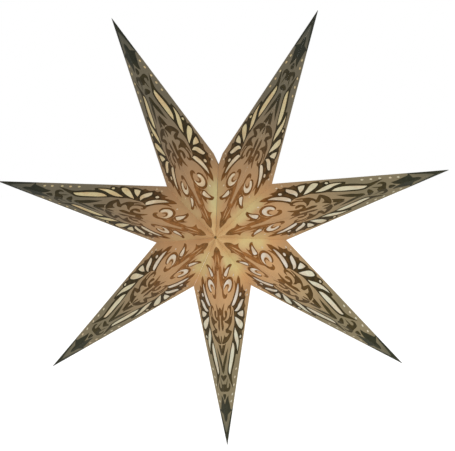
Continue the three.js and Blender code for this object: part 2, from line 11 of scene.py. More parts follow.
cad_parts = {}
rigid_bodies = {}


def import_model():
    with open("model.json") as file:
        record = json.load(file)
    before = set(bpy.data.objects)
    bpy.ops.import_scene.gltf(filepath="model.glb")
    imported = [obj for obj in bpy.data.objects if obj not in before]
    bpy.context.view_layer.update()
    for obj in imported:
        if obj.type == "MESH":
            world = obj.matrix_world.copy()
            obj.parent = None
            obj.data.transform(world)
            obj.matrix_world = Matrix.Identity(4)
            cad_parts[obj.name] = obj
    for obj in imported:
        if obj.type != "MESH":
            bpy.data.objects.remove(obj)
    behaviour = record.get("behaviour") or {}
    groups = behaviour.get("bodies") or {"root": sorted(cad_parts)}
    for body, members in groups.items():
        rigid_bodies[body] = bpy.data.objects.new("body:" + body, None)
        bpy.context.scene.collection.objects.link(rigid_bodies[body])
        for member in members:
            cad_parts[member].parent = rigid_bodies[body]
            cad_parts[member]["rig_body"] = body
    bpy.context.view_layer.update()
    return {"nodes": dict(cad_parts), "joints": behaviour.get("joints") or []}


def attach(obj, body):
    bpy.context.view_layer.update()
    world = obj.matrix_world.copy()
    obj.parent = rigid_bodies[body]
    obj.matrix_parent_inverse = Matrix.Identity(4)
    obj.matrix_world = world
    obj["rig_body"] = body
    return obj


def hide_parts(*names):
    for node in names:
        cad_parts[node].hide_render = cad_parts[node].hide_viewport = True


bl_info = {
    "name": "Paper star lantern",
    "version": (1, 0, 0),
    "blender": (4, 5, 0),
    "location": "3D View > Sidebar > Lantern",
    "description": "Dresses a folding paper star with printed paper, a lampholder and a bulb",
    "category": "Object",
}

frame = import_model()
MM = 0.001

# The bottom ray's tip is where its ridge's joint is
JOINTS = {joint["name"]: joint for joint in frame["joints"]}
BOTTOM_TIP = Vector(JOINTS["ray_4_left_fold"]["pos_m"])
RAY_COUNT = 7
HALF_ANGLE = math.pi / RAY_COUNT

# The way from the star's middle to the lamp, how far along it the paper's light rises by one step,
# and the fewest and most steps
TO_LAMP = (0.5, 0, -0.87)
LAMP_REACH = 100 * MM
LIFT_LIMITS = (-1.1, 1.3)

# How brightly each ray's paper glows beside its left and its right seam
SEAM_LIGHT = {
    1: (0.3, 0.5), 2: (0.75, 0.4), 3: (0.72, 0.6), 4: (0.85, 0.5), 5: (0.65, 0), 6: (0.3, 0.1),
    7: (0.35, 1),
}

# Soft dents: how many to a metre, and how far apart two panels' dents lie in the noise
DENTS = 26
DENT_SHIFT = 7.3

# The shade of the print reaches this far from a cut-out
SHADE_REACH = 6 * MM

# How far the tissue stays from the seam and the outer edge, and from the ridge
TISSUE_INSET = 1 * MM
TISSUE_RIDGE_INSET = 8 * MM

# Meshes: points on each part of a curve, how far a grid's rows lie apart and how near it comes to
# the border, both in steps, and what counts as one point, as no area, and as one vertex
CURVE_STEPS = 6
PRINT_STEPS = 5
ROW_STEP = 0.866
BORDER_STEP = 0.4
SAME_POINT = 1e-6
NO_AREA = 1e-13
SAME_VERTEX = MM / 400


def srgb(red, green, blue):
    """A colour given as 0 to 255, as the linear values that Blender's sockets take."""
    return tuple(
        value / 12.92 if value <= 0.04045 else ((value + 0.055) / 1.055) ** 2.4
        for value in (red / 255, green / 255, blue / 255)
    )


# Half a ray's ornament, in millimetres: along the ridge from the apex, and across from the ridge,
# drawn for a ridge of this length. A point with a third value of 0 is a sharp corner, and every
# other point is passed in a smooth curve.

RIDGE_DRAWN = 322.8

CUT_OUTS = {
    "bud": [
        (52.4, 26.6, 0), (53.2, 20.5), (56.2, 15.2), (59.3, 13.6), (62.9, 18.2), (60.5, 21),
        (57, 23.2),
    ],
    "hook": [
        (81, 10.4, 0), (75.8, 11.4), (71.4, 14.4), (69.2, 19.5), (70.4, 25), (74.2, 28.8),
        (79.5, 29.8), (84.6, 27.4), (86.8, 23.2), (85.4, 20.6), (83, 21.6), (80.8, 23.8),
        (77.4, 23.6), (74.8, 20.2), (74.8, 15.6), (77.4, 12.6),
    ],
    "first_leaf": [
        (84.6, 44, 0), (91.5, 40.6), (99, 36.2), (106, 30.6), (110.6, 27.2, 0), (112.6, 31.6),
        (110.4, 36.4), (105, 41), (97.5, 44.2), (90.6, 45.2),
    ],
    "second_leaf": [
        (121.4, 33.2, 0), (124.6, 38), (125.2, 43.4), (122.2, 49.4), (115, 55.4, 0), (113.2, 50.4),
        (115.6, 44.6), (119.8, 39.4),
    ],
    "small_leaf": [
        (128.6, 39.6, 0), (133.4, 43), (137.4, 47.6), (140.2, 52.4, 0), (135.6, 53.6), (131, 53, 0),
        (129.2, 46.6),
    ],
    "third_leaf": [
        (130.6, 33.6, 0), (139, 35.4), (148, 39.6), (154.6, 44.6), (157, 48.6), (152, 51.6),
        (146, 49), (140, 43.6), (135, 38.4),
    ],
    "fourth_leaf": [
        (146.6, 32.6, 0), (155.6, 30), (165, 31.2), (175, 34.4), (186.8, 35.6, 0), (178, 38.8),
        (170, 39.6), (160, 37.6), (152.6, 34.6),
    ],
    "long_leaf": [
        (166.6, 25.6, 0), (176, 21), (188, 17), (199, 13.6), (207.4, 13), (212.4, 15.8, 0),
        (204, 19.8), (194, 24.4), (184, 27.8), (174, 28.6),
    ],
}

# Punched dots: along, across and radius
DOTS = [
    (104, 48.2, 2.6), (167.5, 44.2, 2.2), (68.6, 34.6, 1.5), (212, 30.6, 1.9), (223, 26.6, 2),
    (234, 23.4, 1.9), (246.6, 18.6, 2), (256.4, 15.2, 1.9), (104.6, 62.6, 1.6), (112.6, 64.4, 1.5),
]

PRINTS = {
    "flame": [
        (12.6, 0, 0), (15.4, 3), (19, 5.6), (23.4, 7.8), (27.4, 8.4), (30.4, 11.2), (33.2, 15.6, 0),
        (34.2, 10.4), (37, 8), (41, 6.8), (45.4, 7), (50.6, 8.4, 0), (47, 4.8), (45.4, 2.8),
        (47, 1, 0), (47, -3, 0), (12.6, -3, 0),
    ],
    "flame_tail": [
        (41, 3.4, 0), (47, 2.4), (56, 2.7), (64, 3.4), (72, 5.2), (79, 8, 0), (71.6, 9.4), (65, 12),
        (60, 10.8), (54, 9.4), (47, 8.4), (42, 6.6),
    ],
    "leaf_band": [
        (73.4, 44.8, 0), (78.4, 41.6), (83.4, 39.6), (79.4, 37.8, 0), (76, 35.4, 0), (84, 36.4),
        (92, 35.4), (99, 31.8), (104, 27.6), (107.6, 22.6, 0), (110.6, 26.6), (115, 29.8),
        (120, 31), (127, 31.2), (134, 31.8), (141, 31), (147, 28.6), (154, 26.8), (161, 25.2),
        (167, 22.4), (177, 18.2), (188, 13.8), (198, 10.6), (206, 9.8), (213, 11.8), (222, 14.6),
        (231, 18), (238, 20.6, 0), (228, 20.2), (218, 19.4), (211, 21), (203, 25.4), (195, 29.4),
        (189, 31.6), (191.5, 35.6, 0), (184, 39.4), (176, 41.8), (171.6, 42.6), (172.4, 47),
        (167.4, 48.8), (161, 48.4), (160.6, 52.4, 0), (154, 54), (146, 53.6), (144, 56, 0),
        (136, 57), (129.4, 56.2), (127.6, 59.6, 0), (120, 57.4), (114, 60.6, 0), (109, 58.6),
        (106, 61.6, 0), (101, 56.6), (96.4, 55.6), (91, 54.8, 0), (94, 50.4), (88, 49.6),
        (80.6, 48.8),
    ],
    "bud_shade": [
        (44.4, 15.6, 0), (49.6, 11.8), (57, 9.6), (64.6, 9), (71, 8.4), (68, 12.6), (65.8, 16),
        (64.4, 20), (61.6, 23), (57.6, 25.4), (54.6, 28.6), (52.4, 32.4, 0), (49.4, 28.6),
        (49, 22.6), (51, 17.4), (49, 15),
    ],
    "palm_foot": [(99.6, 0, 0), (103.6, 3), (108.6, 5.4), (112, 3), (112, -3, 0), (99.6, -3, 0)],
    "palm_bar": [
        (111.6, 2.4, 0), (119, 1.4), (128, 1.8), (134, 2.6), (138.4, 4.8, 0), (132.6, 7.2),
        (126, 6.4), (118.6, 5.6),
    ],
    "first_petal": [
        (124.6, 8.8, 0), (129, 11.4), (132, 15.6), (135.4, 18), (138, 15.2), (138.2, 10.6, 0),
        (143.2, 10.8), (146.6, 14.8), (149, 19.6), (149, 25.4, 0), (144.8, 20.6), (141.6, 17.4),
        (139.6, 20.6), (136, 24.6), (131.6, 26.6), (126.6, 26.4), (125.2, 20.8), (126.6, 14.6),
    ],
    "second_petal": [
        (144.6, 7.4, 0), (150.6, 4.2), (155, 1), (158.2, 6.6), (158.6, 13.4), (156, 19.4),
        (149.6, 25.6, 0), (148.8, 18.8), (150.6, 13.6), (149, 9.4),
    ],
    "small_bar": [(143, 0.8, 0), (150, 1.6), (155.6, 0, 0), (155.6, -2, 0), (143, -2, 0)],
    "inner_leaf": [
        (157.4, 2.4, 0), (163, 0, 0), (170, -1, 0), (175, 2, 0), (170, 5.2), (163.6, 8),
        (158.6, 9.8, 0), (160, 5.6),
    ],
    "swoosh": [
        (167.6, 15.2, 0), (173, 9.8), (178.6, 5.4), (184, 2.2), (190, 0, 0), (203, -1, 0), (200, 3),
        (192.6, 5.6), (187, 8.6), (182, 10.4), (175, 12.4),
    ],
    "drop": [
        (205.6, 0, 0), (206.8, 4.4), (210, 7.8), (213, 5), (214.2, 0, 0), (214, -2, 0),
        (205.6, -2, 0),
    ],
    "anchor": [
        (214.6, 9.6, 0), (219, 6.6), (222.6, 5), (219.8, 2.6), (219.6, 0, 0), (219.6, -2, 0),
        (231, -2, 0), (232.4, 2.4), (235.4, 7), (236.6, 11.4), (233, 15), (227.6, 14.6),
        (224.4, 12, 0), (229.4, 11.6), (230.4, 8.4), (226.6, 6.6), (220, 8.4),
    ],
    "chip": [(234.6, 0, 0), (238.4, 4), (243.6, 2.4), (245, 0, 0), (245, -2, 0), (234.6, -2, 0)],
    "swallow": [
        (242.6, 9.2, 0), (244.6, 4.6), (248.6, 1.6), (252, 0, 0), (252, -2, 0), (283, -2, 0),
        (280, 3.4), (273, 5.6), (272.2, 9.6), (271.4, 18, 0), (268.6, 13.2), (263.6, 12),
        (256.6, 10.6), (250, 9.2),
    ],
    "tip": [
        (268.6, 18.2, 0), (276, 12.2), (286, 8), (296, 3.4), (300, 0, 0), (300, -2, 0),
        (326, -2, 0), (326, 3, 0), (268, 22, 0),
    ],
}

# Bare slivers inside the print
VEINS = {
    "flame_vein": [(24, 2.2, 0), (30, 3.8), (37, 4.8), (44, 4.4, 0), (37, 2.9), (30, 2.2)],
    "bud_vein": [(57.6, 10.6, 0), (62.4, 11, 0), (64.2, 15, 0), (62, 13)],
}

# Brush strokes: points along the middle, each with the width there
STROKES = {
    "hook_ring": [
        (73, 10.2, 1.4), (69.4, 13.8, 3.2), (67.4, 19.2, 3.8), (68.8, 25.6, 4), (73.2, 30.2, 4.2),
        (79.2, 31.4, 4), (85.2, 29, 3.6), (87.8, 24.6, 2.8), (87.2, 20.6, 1.2),
    ],
    "hook_arm": [
        (73, 10.4, 1.8), (79, 9, 3.2), (85, 9.4, 3.8), (89.6, 11.8, 5.6), (91.2, 15.4, 4.8),
        (88.8, 17.6, 2.4),
    ],
    "hook_heart": [
        (78.4, 13, 1), (76, 16.8, 2), (77.4, 20.8, 2.8), (80.6, 20.8, 2), (83, 19.4, 0.8),
    ],
    "curl": [
        (99.4, 10.4, 1), (104.4, 7.4, 3.6), (111, 5.2, 4.8), (118, 5.6, 4.6), (121.8, 9.2, 4.2),
        (119.6, 13.4, 4.6), (114.6, 13.4, 5.4), (111.4, 11.6, 2.8),
    ],
    "second_curl": [
        (112.6, 17.4, 1.6), (109.2, 19.2, 3.6), (109.6, 22.8, 4.6), (114.6, 24.2, 3.8),
        (120.6, 23.4, 3.2), (126.6, 20, 2.2),
    ],
    "tongue": [(129, 25.4, 2.4), (124, 27, 3), (117, 28.8, 0.8)],
}


# Sections of the turned pieces, in millimetres: radius, and height from the top of the neck.
# A rounding gives a radius for a corner's number. What has a top, a foot and a run is full between
# the two heights and dies out to them over the run. Rings run from a height to a height, and the
# third number counts them.

CAP_SECTION = [
    (3.3, 0), (5, 0), (5, -10), (14, -19), (14, -20.2), (13.7, -20.6), (13.7, -21.4), (14, -21.8),
    (14, -22.2), (14, -27.4), (14, -28.99), (12.4, -28.99), (12.4, -21.7), (3.3, -12.6),
]
CAP_ROUNDING = {0: 0.4, 1: 0.6, 2: 1.6, 3: 0.9, 10: 0.7, 11: 0.3}
FLUTES = {"top": -22.2, "foot": -28.2, "run": 0.9}
SKIRT_WALL = 13
GRIP_HOLE = {"radius": 1.8 * MM, "depth": 8 * MM, "location": (6 * MM, 0, -5 * MM)}

SPIGOT = [(12.1, -22.8), (12.1, -29.3), (14, -29.3)]
SPIGOT_ROUNDING = {0: 0.3, 2: 0.4}
GROOVE = [(14, 0), (13.6, -0.3), (13.6, -0.7), (14, -1)]
GROOVE_HEIGHTS = (-33, -35, -37)
SLEEVE_MOUTH = [
    (14, -66.4), (14, -67.8), (12.5, -67.8), (12.5, -30.5), (10.6, -30.5), (10.6, -22.8),
]
SLEEVE_ROUNDING = {1: 0.6, 2: 0.5, 5: 0.3}

SHELL_TOP, SHELL_RIM, SHELL_FOOT = -33.7, -34.3, -59.7
SHELL_RIM_RADIUS, SHELL_OUTSIDE, SHELL_INSIDE = 9.3, 7.9, 7.3
SHELL_ROLLED, SHELL_ROLL = 7.72, 0.52
SHELL_RINGS = (SHELL_RIM - 0.5, SHELL_FOOT + 0.8, 90)
SHELL_THREAD = {"top": SHELL_RIM - 0.6, "foot": SHELL_FOOT + 1, "run": 1.4}

BULB_THREAD = {"top": -45.2, "foot": -56.49, "run": 1.2}
BULB_RINGS = (-45.2, -56.49, 48)
BULB_CAP_TOP = [(5.95, -43.6), (6.3, -43.6), (6.4, -43.75), (6.4, -44.6)]
BULB_CAP_FOOT = [
    (6.4, -57.2), (6.4, -61.2), (6.6, -61.5), (6.7, -61.9), (6.6, -62.08), (5.95, -62.08),
]
BULB_CAP_RADIUS, BULB_CAP_WALL = 6.4, 6.2

GLASS_WALL = 0.8
GLASS_SEAL, GLASS_NECK_FOOT, GLASS_NECK = -50.09, -62.4, 5.65
GLASS_BALL, GLASS_BALL_CENTRE = 22.5, -95.588
GLASS_SHOULDER = math.radians(55.3)
GLASS_SWEEP = 15
SWEEP_POINTS, BALL_POINTS, BEAD_POINTS, ROUNDING_STEPS = 12, 26, 9, 4

INSULATOR = [(0, -40.7), (2.9, -40.7), (6.4, -42.9), (6.4, -43.3), (0, -43.3)]
INSULATOR_ROUNDING = {1: 0.5, 2: 0.4}
SOLDER_RADIUS, SOLDER_RISE, SOLDER_EDGE, SOLDER_FOOT = 2.4, 1.2, -40.1, -40.4

STEM = [
    (0, -50.09), (4.55, -50.09), (4.55, -52.09), (3.4, -53.2), (2.2, -55.4), (1.6, -58.6),
    (1.4, -62), (1.4, -69.6), (2.2, -70.09), (6.2, -70.3), (6.6, -70.69), (6.2, -71.09),
    (2.2, -71.29), (1.4, -71.8), (1.3, -86), (1.4, -100.4), (2.2, -100.89), (6.2, -101.1),
    (6.6, -101.49), (6.2, -101.9), (2.2, -102.09), (0, -102.09),
]

FILAMENT_COUNT = 4
FILAMENT_RING = 5
FILAMENT = [
    (0, -71.59), (0.35, -71.59), (0.45, -71.8), (0.45, -73.4), (0.6, -73.6), (0.85, -74.1),
    (0.85, -98.1), (0.6, -98.6), (0.45, -98.8), (0.45, -100.4), (0.35, -100.59), (0, -100.59),
]
COATED_TOP, COATED_FOOT = -73.55, -98.65

# The stage, in metres, and the camera's sensor in millimetres
FLOOR_SIZE, FLOOR_BACK = 12, 2
FLOOR_GREY, FLOOR_WHITE, FLOOR_GLOW = (0.88, 0.88, 0.88), (0.9, 0.9, 0.9), 0.34
KEY_SIZE, KEY_PLACE = 1.8, (1.5, -1.9, 1.1)
FILL_SIZE, FILL_PLACE = 2.4, (-1.9, -1.7, 0.3)
SENSOR_WIDTH = 36
NEAREST_SEEN, FARTHEST_SEEN = 0.01, 50


# What a user would change

def setting(label, text, default, **limits):
    return bpy.props.FloatProperty(name=label, description=text, default=default, **limits)


def length(label, text, default):
    return setting(label, text, default, min=0, precision=5, unit="LENGTH")


def colour(label, text, red, green, blue):
    return bpy.props.FloatVectorProperty(
        name=label, description=text, subtype="COLOR", size=3, min=0, max=1,
        default=srgb(red, green, blue),
    )


class LanternPaper(bpy.types.PropertyGroup):
    tip_radius: length("Tip radius", "From the star's axis to a ray's tip", 310 * MM)
    notch_radius: length("Notch radius", "From the star's axis to the notch of two rays", 90 * MM)
    half_depth: length("Half depth", "From the star's plane to its raised centre", 90 * MM)
    sheet: length("Sheet", "Thickness of the printed paper", 0.2 * MM)
    tissue: length("Tissue", "Thickness of the tissue behind the cut-outs", 0.05 * MM)
    tissue_gap: length("Tissue gap", "Between the printed paper and the tissue", 0.05 * MM)
    crease_gap: length("Crease gap", "From a sheet's edge to the crease it turns on", 0.02 * MM)
    back_gap: length("Back seam gap", "From a sheet's edge to a glued seam behind", 0.08 * MM)
    seam_gap: length("Open seam gap", "From the open seam's edges to the seam", 0.15 * MM)
    pressed: length("Pressed fold", "Least thickness of the paper, at a crease", 0.001 * MM)
    thinning: length(
        "Fold thinning", "From a crease to where the pressed paper has its full thickness", 4 * MM
    )
    dent: length("Dent", "Deepest soft dent in the paper", 0.1 * MM)
    apex_hole: length("Apex hole", "From the raised centre to a panel's cut corner", 2.2 * MM)
    tip_cut: length("Tip cut", "From a ray's tip to a panel's cut corner", 1.6 * MM)
    cord_hole: length("Cord hole", "From the top notch to a panel's snipped corner", 4.5 * MM)
    mesh_step: length("Mesh step", "Distance between the points inside a panel", 7 * MM)


class LanternColours(bpy.types.PropertyGroup):
    ground_centre: colour("Ground at the centre", "Bare paper at the raised centre", 178, 137, 91)
    ground_inner: colour("Inner ground", "Bare paper round the hooks", 185, 146, 104)
    ground_middle: colour("Middle ground", "Bare paper in the middle of a ray", 150, 128, 97)
    ground_outer: colour("Outer ground", "Bare paper towards a ray's tip", 117, 107, 84)
    ground_tip: colour("Tip ground", "Bare paper at a ray's tip", 80, 79, 66)
    ink_centre: colour("Ink at the centre", "Print nearest to the raised centre", 119, 83, 43)
    ink_flame: colour("Flame ink", "Print along the ridge beside the buds", 135, 90, 47)
    ink_inner: colour("Inner ink", "Print round the buds and the hooks", 124, 82, 40)
    ink_middle: colour("Middle ink", "Print on the leaf band and the scrolls", 80, 57, 25)
    ink_outer: colour("Outer ink", "Print towards a ray's tip", 52, 44, 18)
    ink_tip: colour("Tip ink", "Print at a ray's tip", 38, 39, 24)
    ink_shade: colour("Shaded ink", "Print in the shade beside the cut-outs", 38, 32, 8)
    seam_lit: colour("Lit seam", "Paper along the seams in the lamp's light", 202, 170, 120)
    seam_glow: colour("Seam glow", "Seams where the lamp is nearest", 204, 194, 142)
    tissue_inner: colour("Inner tissue", "Tissue near the centre", 226, 213, 191)
    tissue_outer: colour("Outer tissue", "Tissue in the long leaves", 213, 203, 168)
    tissue_warm: colour("Warm tissue", "Patches that let less light through", 206, 178, 140)


class LanternHolder(bpy.types.PropertyGroup):
    plastic: colour("Plastic", "The lampholder's cap and body", 240, 237, 230)
    flutes: bpy.props.IntProperty(
        name="Flutes", description="Finger flutes round the cap's skirt", default=24, min=0
    )
    flute_depth: length("Flute depth", "How deep each flute is", 0.45 * MM)
    thread_pitch: length("Thread pitch", "How far the bulb moves in one turn", 2.822 * MM)
    thread_depth: length("Thread depth", "From the bulb cap's root to its crest", 0.55 * MM)


class LanternStage(bpy.types.PropertyGroup):
    floor_height: setting(
        "Floor height", "The floor's height, with the cord hole at 0", -0.9, unit="LENGTH"
    )
    ambient: setting("Ambient", "Soft light from all round", 0.88, min=0)
    key_watts: setting("Key light", "Light from the right", 9, min=0, unit="POWER")
    fill_watts: setting("Fill light", "Light from the left", 4, min=0, unit="POWER")
    distance: length("Distance", "From the star's centre to the camera", 1.1)
    lens: setting("Lens", "Focal length in millimetres", 64.8, min=1)
    swing: setting(
        "Swing", "The star's turn about the upright axis", math.radians(-4.1), unit="ROTATION"
    )
    tilt: setting(
        "Tilt", "The star's tip towards the camera", math.radians(8.45), unit="ROTATION"
    )
    roll: setting("Roll", "The star's turn in the picture", math.radians(-1.79), unit="ROTATION")
    shift_across: setting("Shift across", "Camera shift to the side", 0.0154)
    shift_up: setting("Shift up", "Camera shift upwards", 0.0026)


# Star geometry

def star_centre(paper):
    return Vector((0, 0, BOTTOM_TIP.z + paper.tip_radius))


def ray_angle(number):
    return math.pi / 2 - HALF_ANGLE - (number - 1) * 2 * HALF_ANGLE


def in_plane(paper, radius, angle):
    return star_centre(paper) + Vector((radius * math.cos(angle), 0, radius * math.sin(angle)))


def panel_axes(paper, number, face, hand):
    """A panel's apex, the directions along and across it, and the direction out of the lantern."""
    angle = ray_angle(number)
    apex = star_centre(paper) + Vector((0, -face * paper.half_depth, 0))
    along = (in_plane(paper, paper.tip_radius, angle) - apex).normalized()
    to_notch = in_plane(paper, paper.notch_radius, angle + hand * HALF_ANGLE) - apex
    across = (to_notch - along * to_notch.dot(along)).normalized()
    outward = along.cross(across)
    if outward.y * face > 0:
        outward.negate()
    return apex, along, across, outward


def half_ray_size(paper):
    """The ridge's length, and the notch's place along and across it."""
    ridge = math.hypot(paper.tip_radius, paper.half_depth)
    apex, along, across, _ = panel_axes(paper, 1, 1, 1)
    to_notch = in_plane(paper, paper.notch_radius, ray_angle(1) + HALF_ANGLE) - apex
    return ridge, to_notch.dot(along), to_notch.dot(across)


def panels():
    """Every panel's solid: its name, ray, face, hand, and whether it borders the open seam."""
    for number in range(1, RAY_COUNT + 1):
        for face, face_name in ((1, "front"), (-1, "back")):
            for hand, hand_name in ((1, "left"), (-1, "right")):
                open_seam = (number, hand) in ((1, 1), (RAY_COUNT, -1))
                yield f"ray_{number}_{face_name}_{hand_name}", number, face, hand, open_seam


# Flat outlines

def swept(t, start, leave, end, arrive):
    """A point of the smooth curve between two points, with the ways it leaves and arrives."""
    return (
        (2 * t**3 - 3 * t**2 + 1) * start + (t**3 - 2 * t**2 + t) * leave
        + (3 * t**2 - 2 * t**3) * end + (t**3 - t**2) * arrive
    )


def curve_points(points, closed=True, steps=CURVE_STEPS):
    """Points along the smooth curve through a list, which stops at its sharp corners."""
    count = len(points)
    places = [np.array(point[:2], float) for point in points]
    sharp = [len(point) > 2 and point[2] == 0 for point in points]
    made = []
    for index in range(count if closed else count - 1):
        after = (index + 1) % count
        start, end = places[index], places[after]
        before = places[index - 1] if closed or index else start
        beyond = places[(index + 2) % count] if closed or index + 2 < count else end
        leave = np.zeros(2) if sharp[index] else (end - before) / 2
        arrive = np.zeros(2) if sharp[after] else (beyond - start) / 2
        made += [swept(step / steps, start, leave, end, arrive) for step in range(steps)]
    if not closed:
        made.append(places[-1])
    return np.array(made)


def stroke_outline(points):
    """The outline of a brush stroke with round ends."""
    middle = curve_points([point[:2] for point in points], closed=False, steps=PRINT_STEPS)
    share = np.linspace(0, len(points) - 1, len(middle))
    half = np.interp(share, range(len(points)), [point[2] / 2 for point in points])
    tangent = np.gradient(middle, axis=0)
    tangent /= np.linalg.norm(tangent, axis=1)[:, None]
    normal = np.stack([-tangent[:, 1], tangent[:, 0]], axis=1)
    left, right = middle + normal * half[:, None], middle - normal * half[:, None]
    end = middle[-1] + tangent[-1] * half[-1]
    start = middle[0] - tangent[0] * half[0]
    return np.concatenate([[start], left, [end], right[::-1]])


def circle_points(along, across, radius, count=14):
    turn = np.linspace(0, 2 * math.pi, count, endpoint=False)
    return np.stack([along + radius * np.cos(turn), across + radius * np.sin(turn)], axis=1)


def inside(points, outline):
    """Which points lie inside an outline, counted by how often it winds round them."""
    winding = np.zeros(len(points), int)
    x, y = points[:, 0], points[:, 1]
    for (ax, ay), (bx, by) in zip(outline, np.roll(outline, -1, axis=0)):
        side = (bx - ax) * (y - ay) - (x - ax) * (by - ay)
        winding += (ay <= y) & (by > y) & (side > 0)
        winding -= (ay > y) & (by <= y) & (side < 0)
    return winding != 0


def distance_to(points, outline):
    """How far each point is from the nearest point of an outline, which is finely divided."""
    gaps = points[:, None, :] - outline[None, :, :]
    return np.sqrt((gaps**2).sum(axis=2)).min(axis=1)


def border_distance(points, outline):
    """How far each point inside a convex outline is from its nearest side."""
    nearest = np.full(len(points), np.inf)
    middle = outline.mean(axis=0)
    for start, end in zip(outline, np.roll(outline, -1, axis=0)):
        way = (end - start) / np.linalg.norm(end - start)
        normal = np.array([-way[1], way[0]])
        normal *= np.sign(np.dot(middle - start, normal))
        nearest = np.minimum(nearest, (points - start) @ normal)
    return np.maximum(nearest, 0)


def meeting(first, second):
    """Where two lines meet, each a point, an inward normal and an offset."""
    rows = np.array([first[1], second[1]])
    return np.linalg.solve(rows, [np.dot(line[0], line[1]) + line[2] for line in (first, second)])


def panel_outline(paper, face, open_seam, inset=0.0, ridge_inset=0.0):
    """A half ray's outline with its apex cut off, and at the open seam its notch too."""
    ridge, notch_along, notch_across = half_ray_size(paper)
    apex, tip, notch = np.zeros(2), np.array([ridge, 0]), np.array([notch_along, notch_across])
    seam_way = notch / np.linalg.norm(notch)
    edge_way = (tip - notch) / np.linalg.norm(tip - notch)
    ridge_in = np.array([0, 1])
    seam_in, edge_in = (np.array([way[1], -way[0]]) for way in (seam_way, edge_way))
    apex_in = (seam_way + [1, 0]) / np.linalg.norm(seam_way + [1, 0])
    notch_in = (edge_way - seam_way) / np.linalg.norm(edge_way - seam_way)
    glued_gap = paper.crease_gap if face > 0 else paper.back_gap
    seam_gap = paper.seam_gap if open_seam else glued_gap
    lines = [
        (apex, ridge_in, paper.crease_gap + ridge_inset),
        (apex, apex_in, paper.apex_hole + inset + 2 * ridge_inset),
        (apex, seam_in, seam_gap + inset),
    ]
    if open_seam:
        lines.append((notch, notch_in, paper.cord_hole))
    lines.append((notch, edge_in, paper.crease_gap + inset))
    if not ridge_inset:
        lines.append((tip, np.array([-1, 0]), paper.tip_cut))
    corners = [meeting(line, lines[(index + 1) % len(lines)]) for index, line in enumerate(lines)]
    return np.array(corners)


def grid_points(outline, step):
    """Points of a triangular grid that lie well inside an outline."""
    low, high = outline.min(axis=0), outline.max(axis=0)
    rows = []
    for row, y in enumerate(np.arange(low[1], high[1], step * ROW_STEP)):
        x = np.arange(low[0] + (row % 2) * step / 2, high[0], step)
        rows.append(np.stack([x, np.full(len(x), y)], axis=1))
    points = np.concatenate(rows)
    points = points[inside(points, outline)]
    return points[border_distance(points, outline) > step * BORDER_STEP]


def divided(outline, step):
    """An outline with points added so that no side is longer than a step."""
    made = []
    for start, end in zip(outline, np.roll(outline, -1, axis=0)):
        count = max(1, math.ceil(np.linalg.norm(end - start) / step))
        made.extend(start + (end - start) * index / count for index in range(count))
    return np.array(made)


def triangulate(loops, loose):
    """Triangles that respect every loop's sides. Gives the points and the triangles."""
    points = np.concatenate(loops + [loose])
    sides, first = [], 0
    for loop in loops:
        sides.extend((first + index, first + (index + 1) % len(loop)) for index in range(len(loop)))
        first += len(loop)
    verts, _, faces, *_ = geometry.delaunay_2d_cdt(
        [Vector(point) for point in points], sides, [], 0, SAME_POINT
    )
    points = np.array([tuple(vert) for vert in verts])
    faces = np.array([tuple(face) for face in faces])
    a, b, c = (points[faces[:, corner]] for corner in range(3))
    area = (b[:, 0] - a[:, 0]) * (c[:, 1] - a[:, 1]) - (b[:, 1] - a[:, 1]) * (c[:, 0] - a[:, 0])
    faces[area < 0] = faces[area < 0][:, ::-1]
    return points, faces[np.abs(area) > NO_AREA]


def keep(points, faces, wanted):
    """The wanted triangles, and only the points that they use."""
    faces = faces[wanted]
    used, faces = np.unique(faces, return_inverse=True)
    return points[used], faces.reshape(-1, 3)


def flat_sheet(paper, face, open_seam):
    """A half ray laid flat: its points, its triangles, which are printed, and the cut-outs."""
    scale = half_ray_size(paper)[0] / RIDGE_DRAWN
    outline = panel_outline(paper, face, open_seam)
    cuts = [curve_points(points) * scale for points in CUT_OUTS.values()]
    cuts += [circle_points(*dot) * scale for dot in DOTS]
    prints = [curve_points(points, steps=PRINT_STEPS) * scale for points in PRINTS.values()]
    prints += [stroke_outline(points) * scale for points in STROKES.values()]
    veins = [curve_points(points) * scale for points in VEINS.values()]
    border = divided(outline, paper.mesh_step)
    loops = [border] + cuts + prints + veins
    points, faces = triangulate(loops, grid_points(outline, paper.mesh_step))
    middles = points[faces].mean(axis=1)
    wanted = inside(middles, outline)
    for cut in cuts:
        wanted &= ~inside(middles, cut)
    inked = np.zeros(len(faces), bool)
    for shape in prints:
        inked |= inside(middles, shape)
    for vein in veins:
        inked &= ~inside(middles, vein)
    inked = inked[wanted]
    points, faces = keep(points, faces, wanted)
    return points, faces, inked, np.concatenate(cuts)


# Sheets in their place, with a finish for each kind of face

BARE, PRINTED, INSIDE, CUT_EDGE = range(4)


def closed_sheet(points, faces, inked, outer, inner):
    """Vertices, heights, faces and material numbers of a sheet with two sides and cut edges."""
    count = len(points)
    sides = np.concatenate([faces[:, [0, 1]], faces[:, [1, 2]], faces[:, [2, 0]]])
    keys = np.sort(sides, axis=1)
    _, where, uses = np.unique(keys, axis=0, return_index=True, return_counts=True)
    rim = sides[where[uses == 1]]
    walls = np.stack([rim[:, 0], rim[:, 0] + count, rim[:, 1] + count, rim[:, 1]], axis=1)
    made = [tuple(face) for face in faces.tolist()]
    made += [tuple(face) for face in (faces[:, ::-1] + count).tolist()]
    made += [tuple(face) for face in walls.tolist()]
    outside = np.where(inked, PRINTED, BARE)
    edges = np.full(len(walls), CUT_EDGE)
    slots = np.concatenate([outside, np.full(len(faces), INSIDE), edges])
    heights = np.concatenate([outer, inner])
    return np.concatenate([points, points]), heights, made, slots


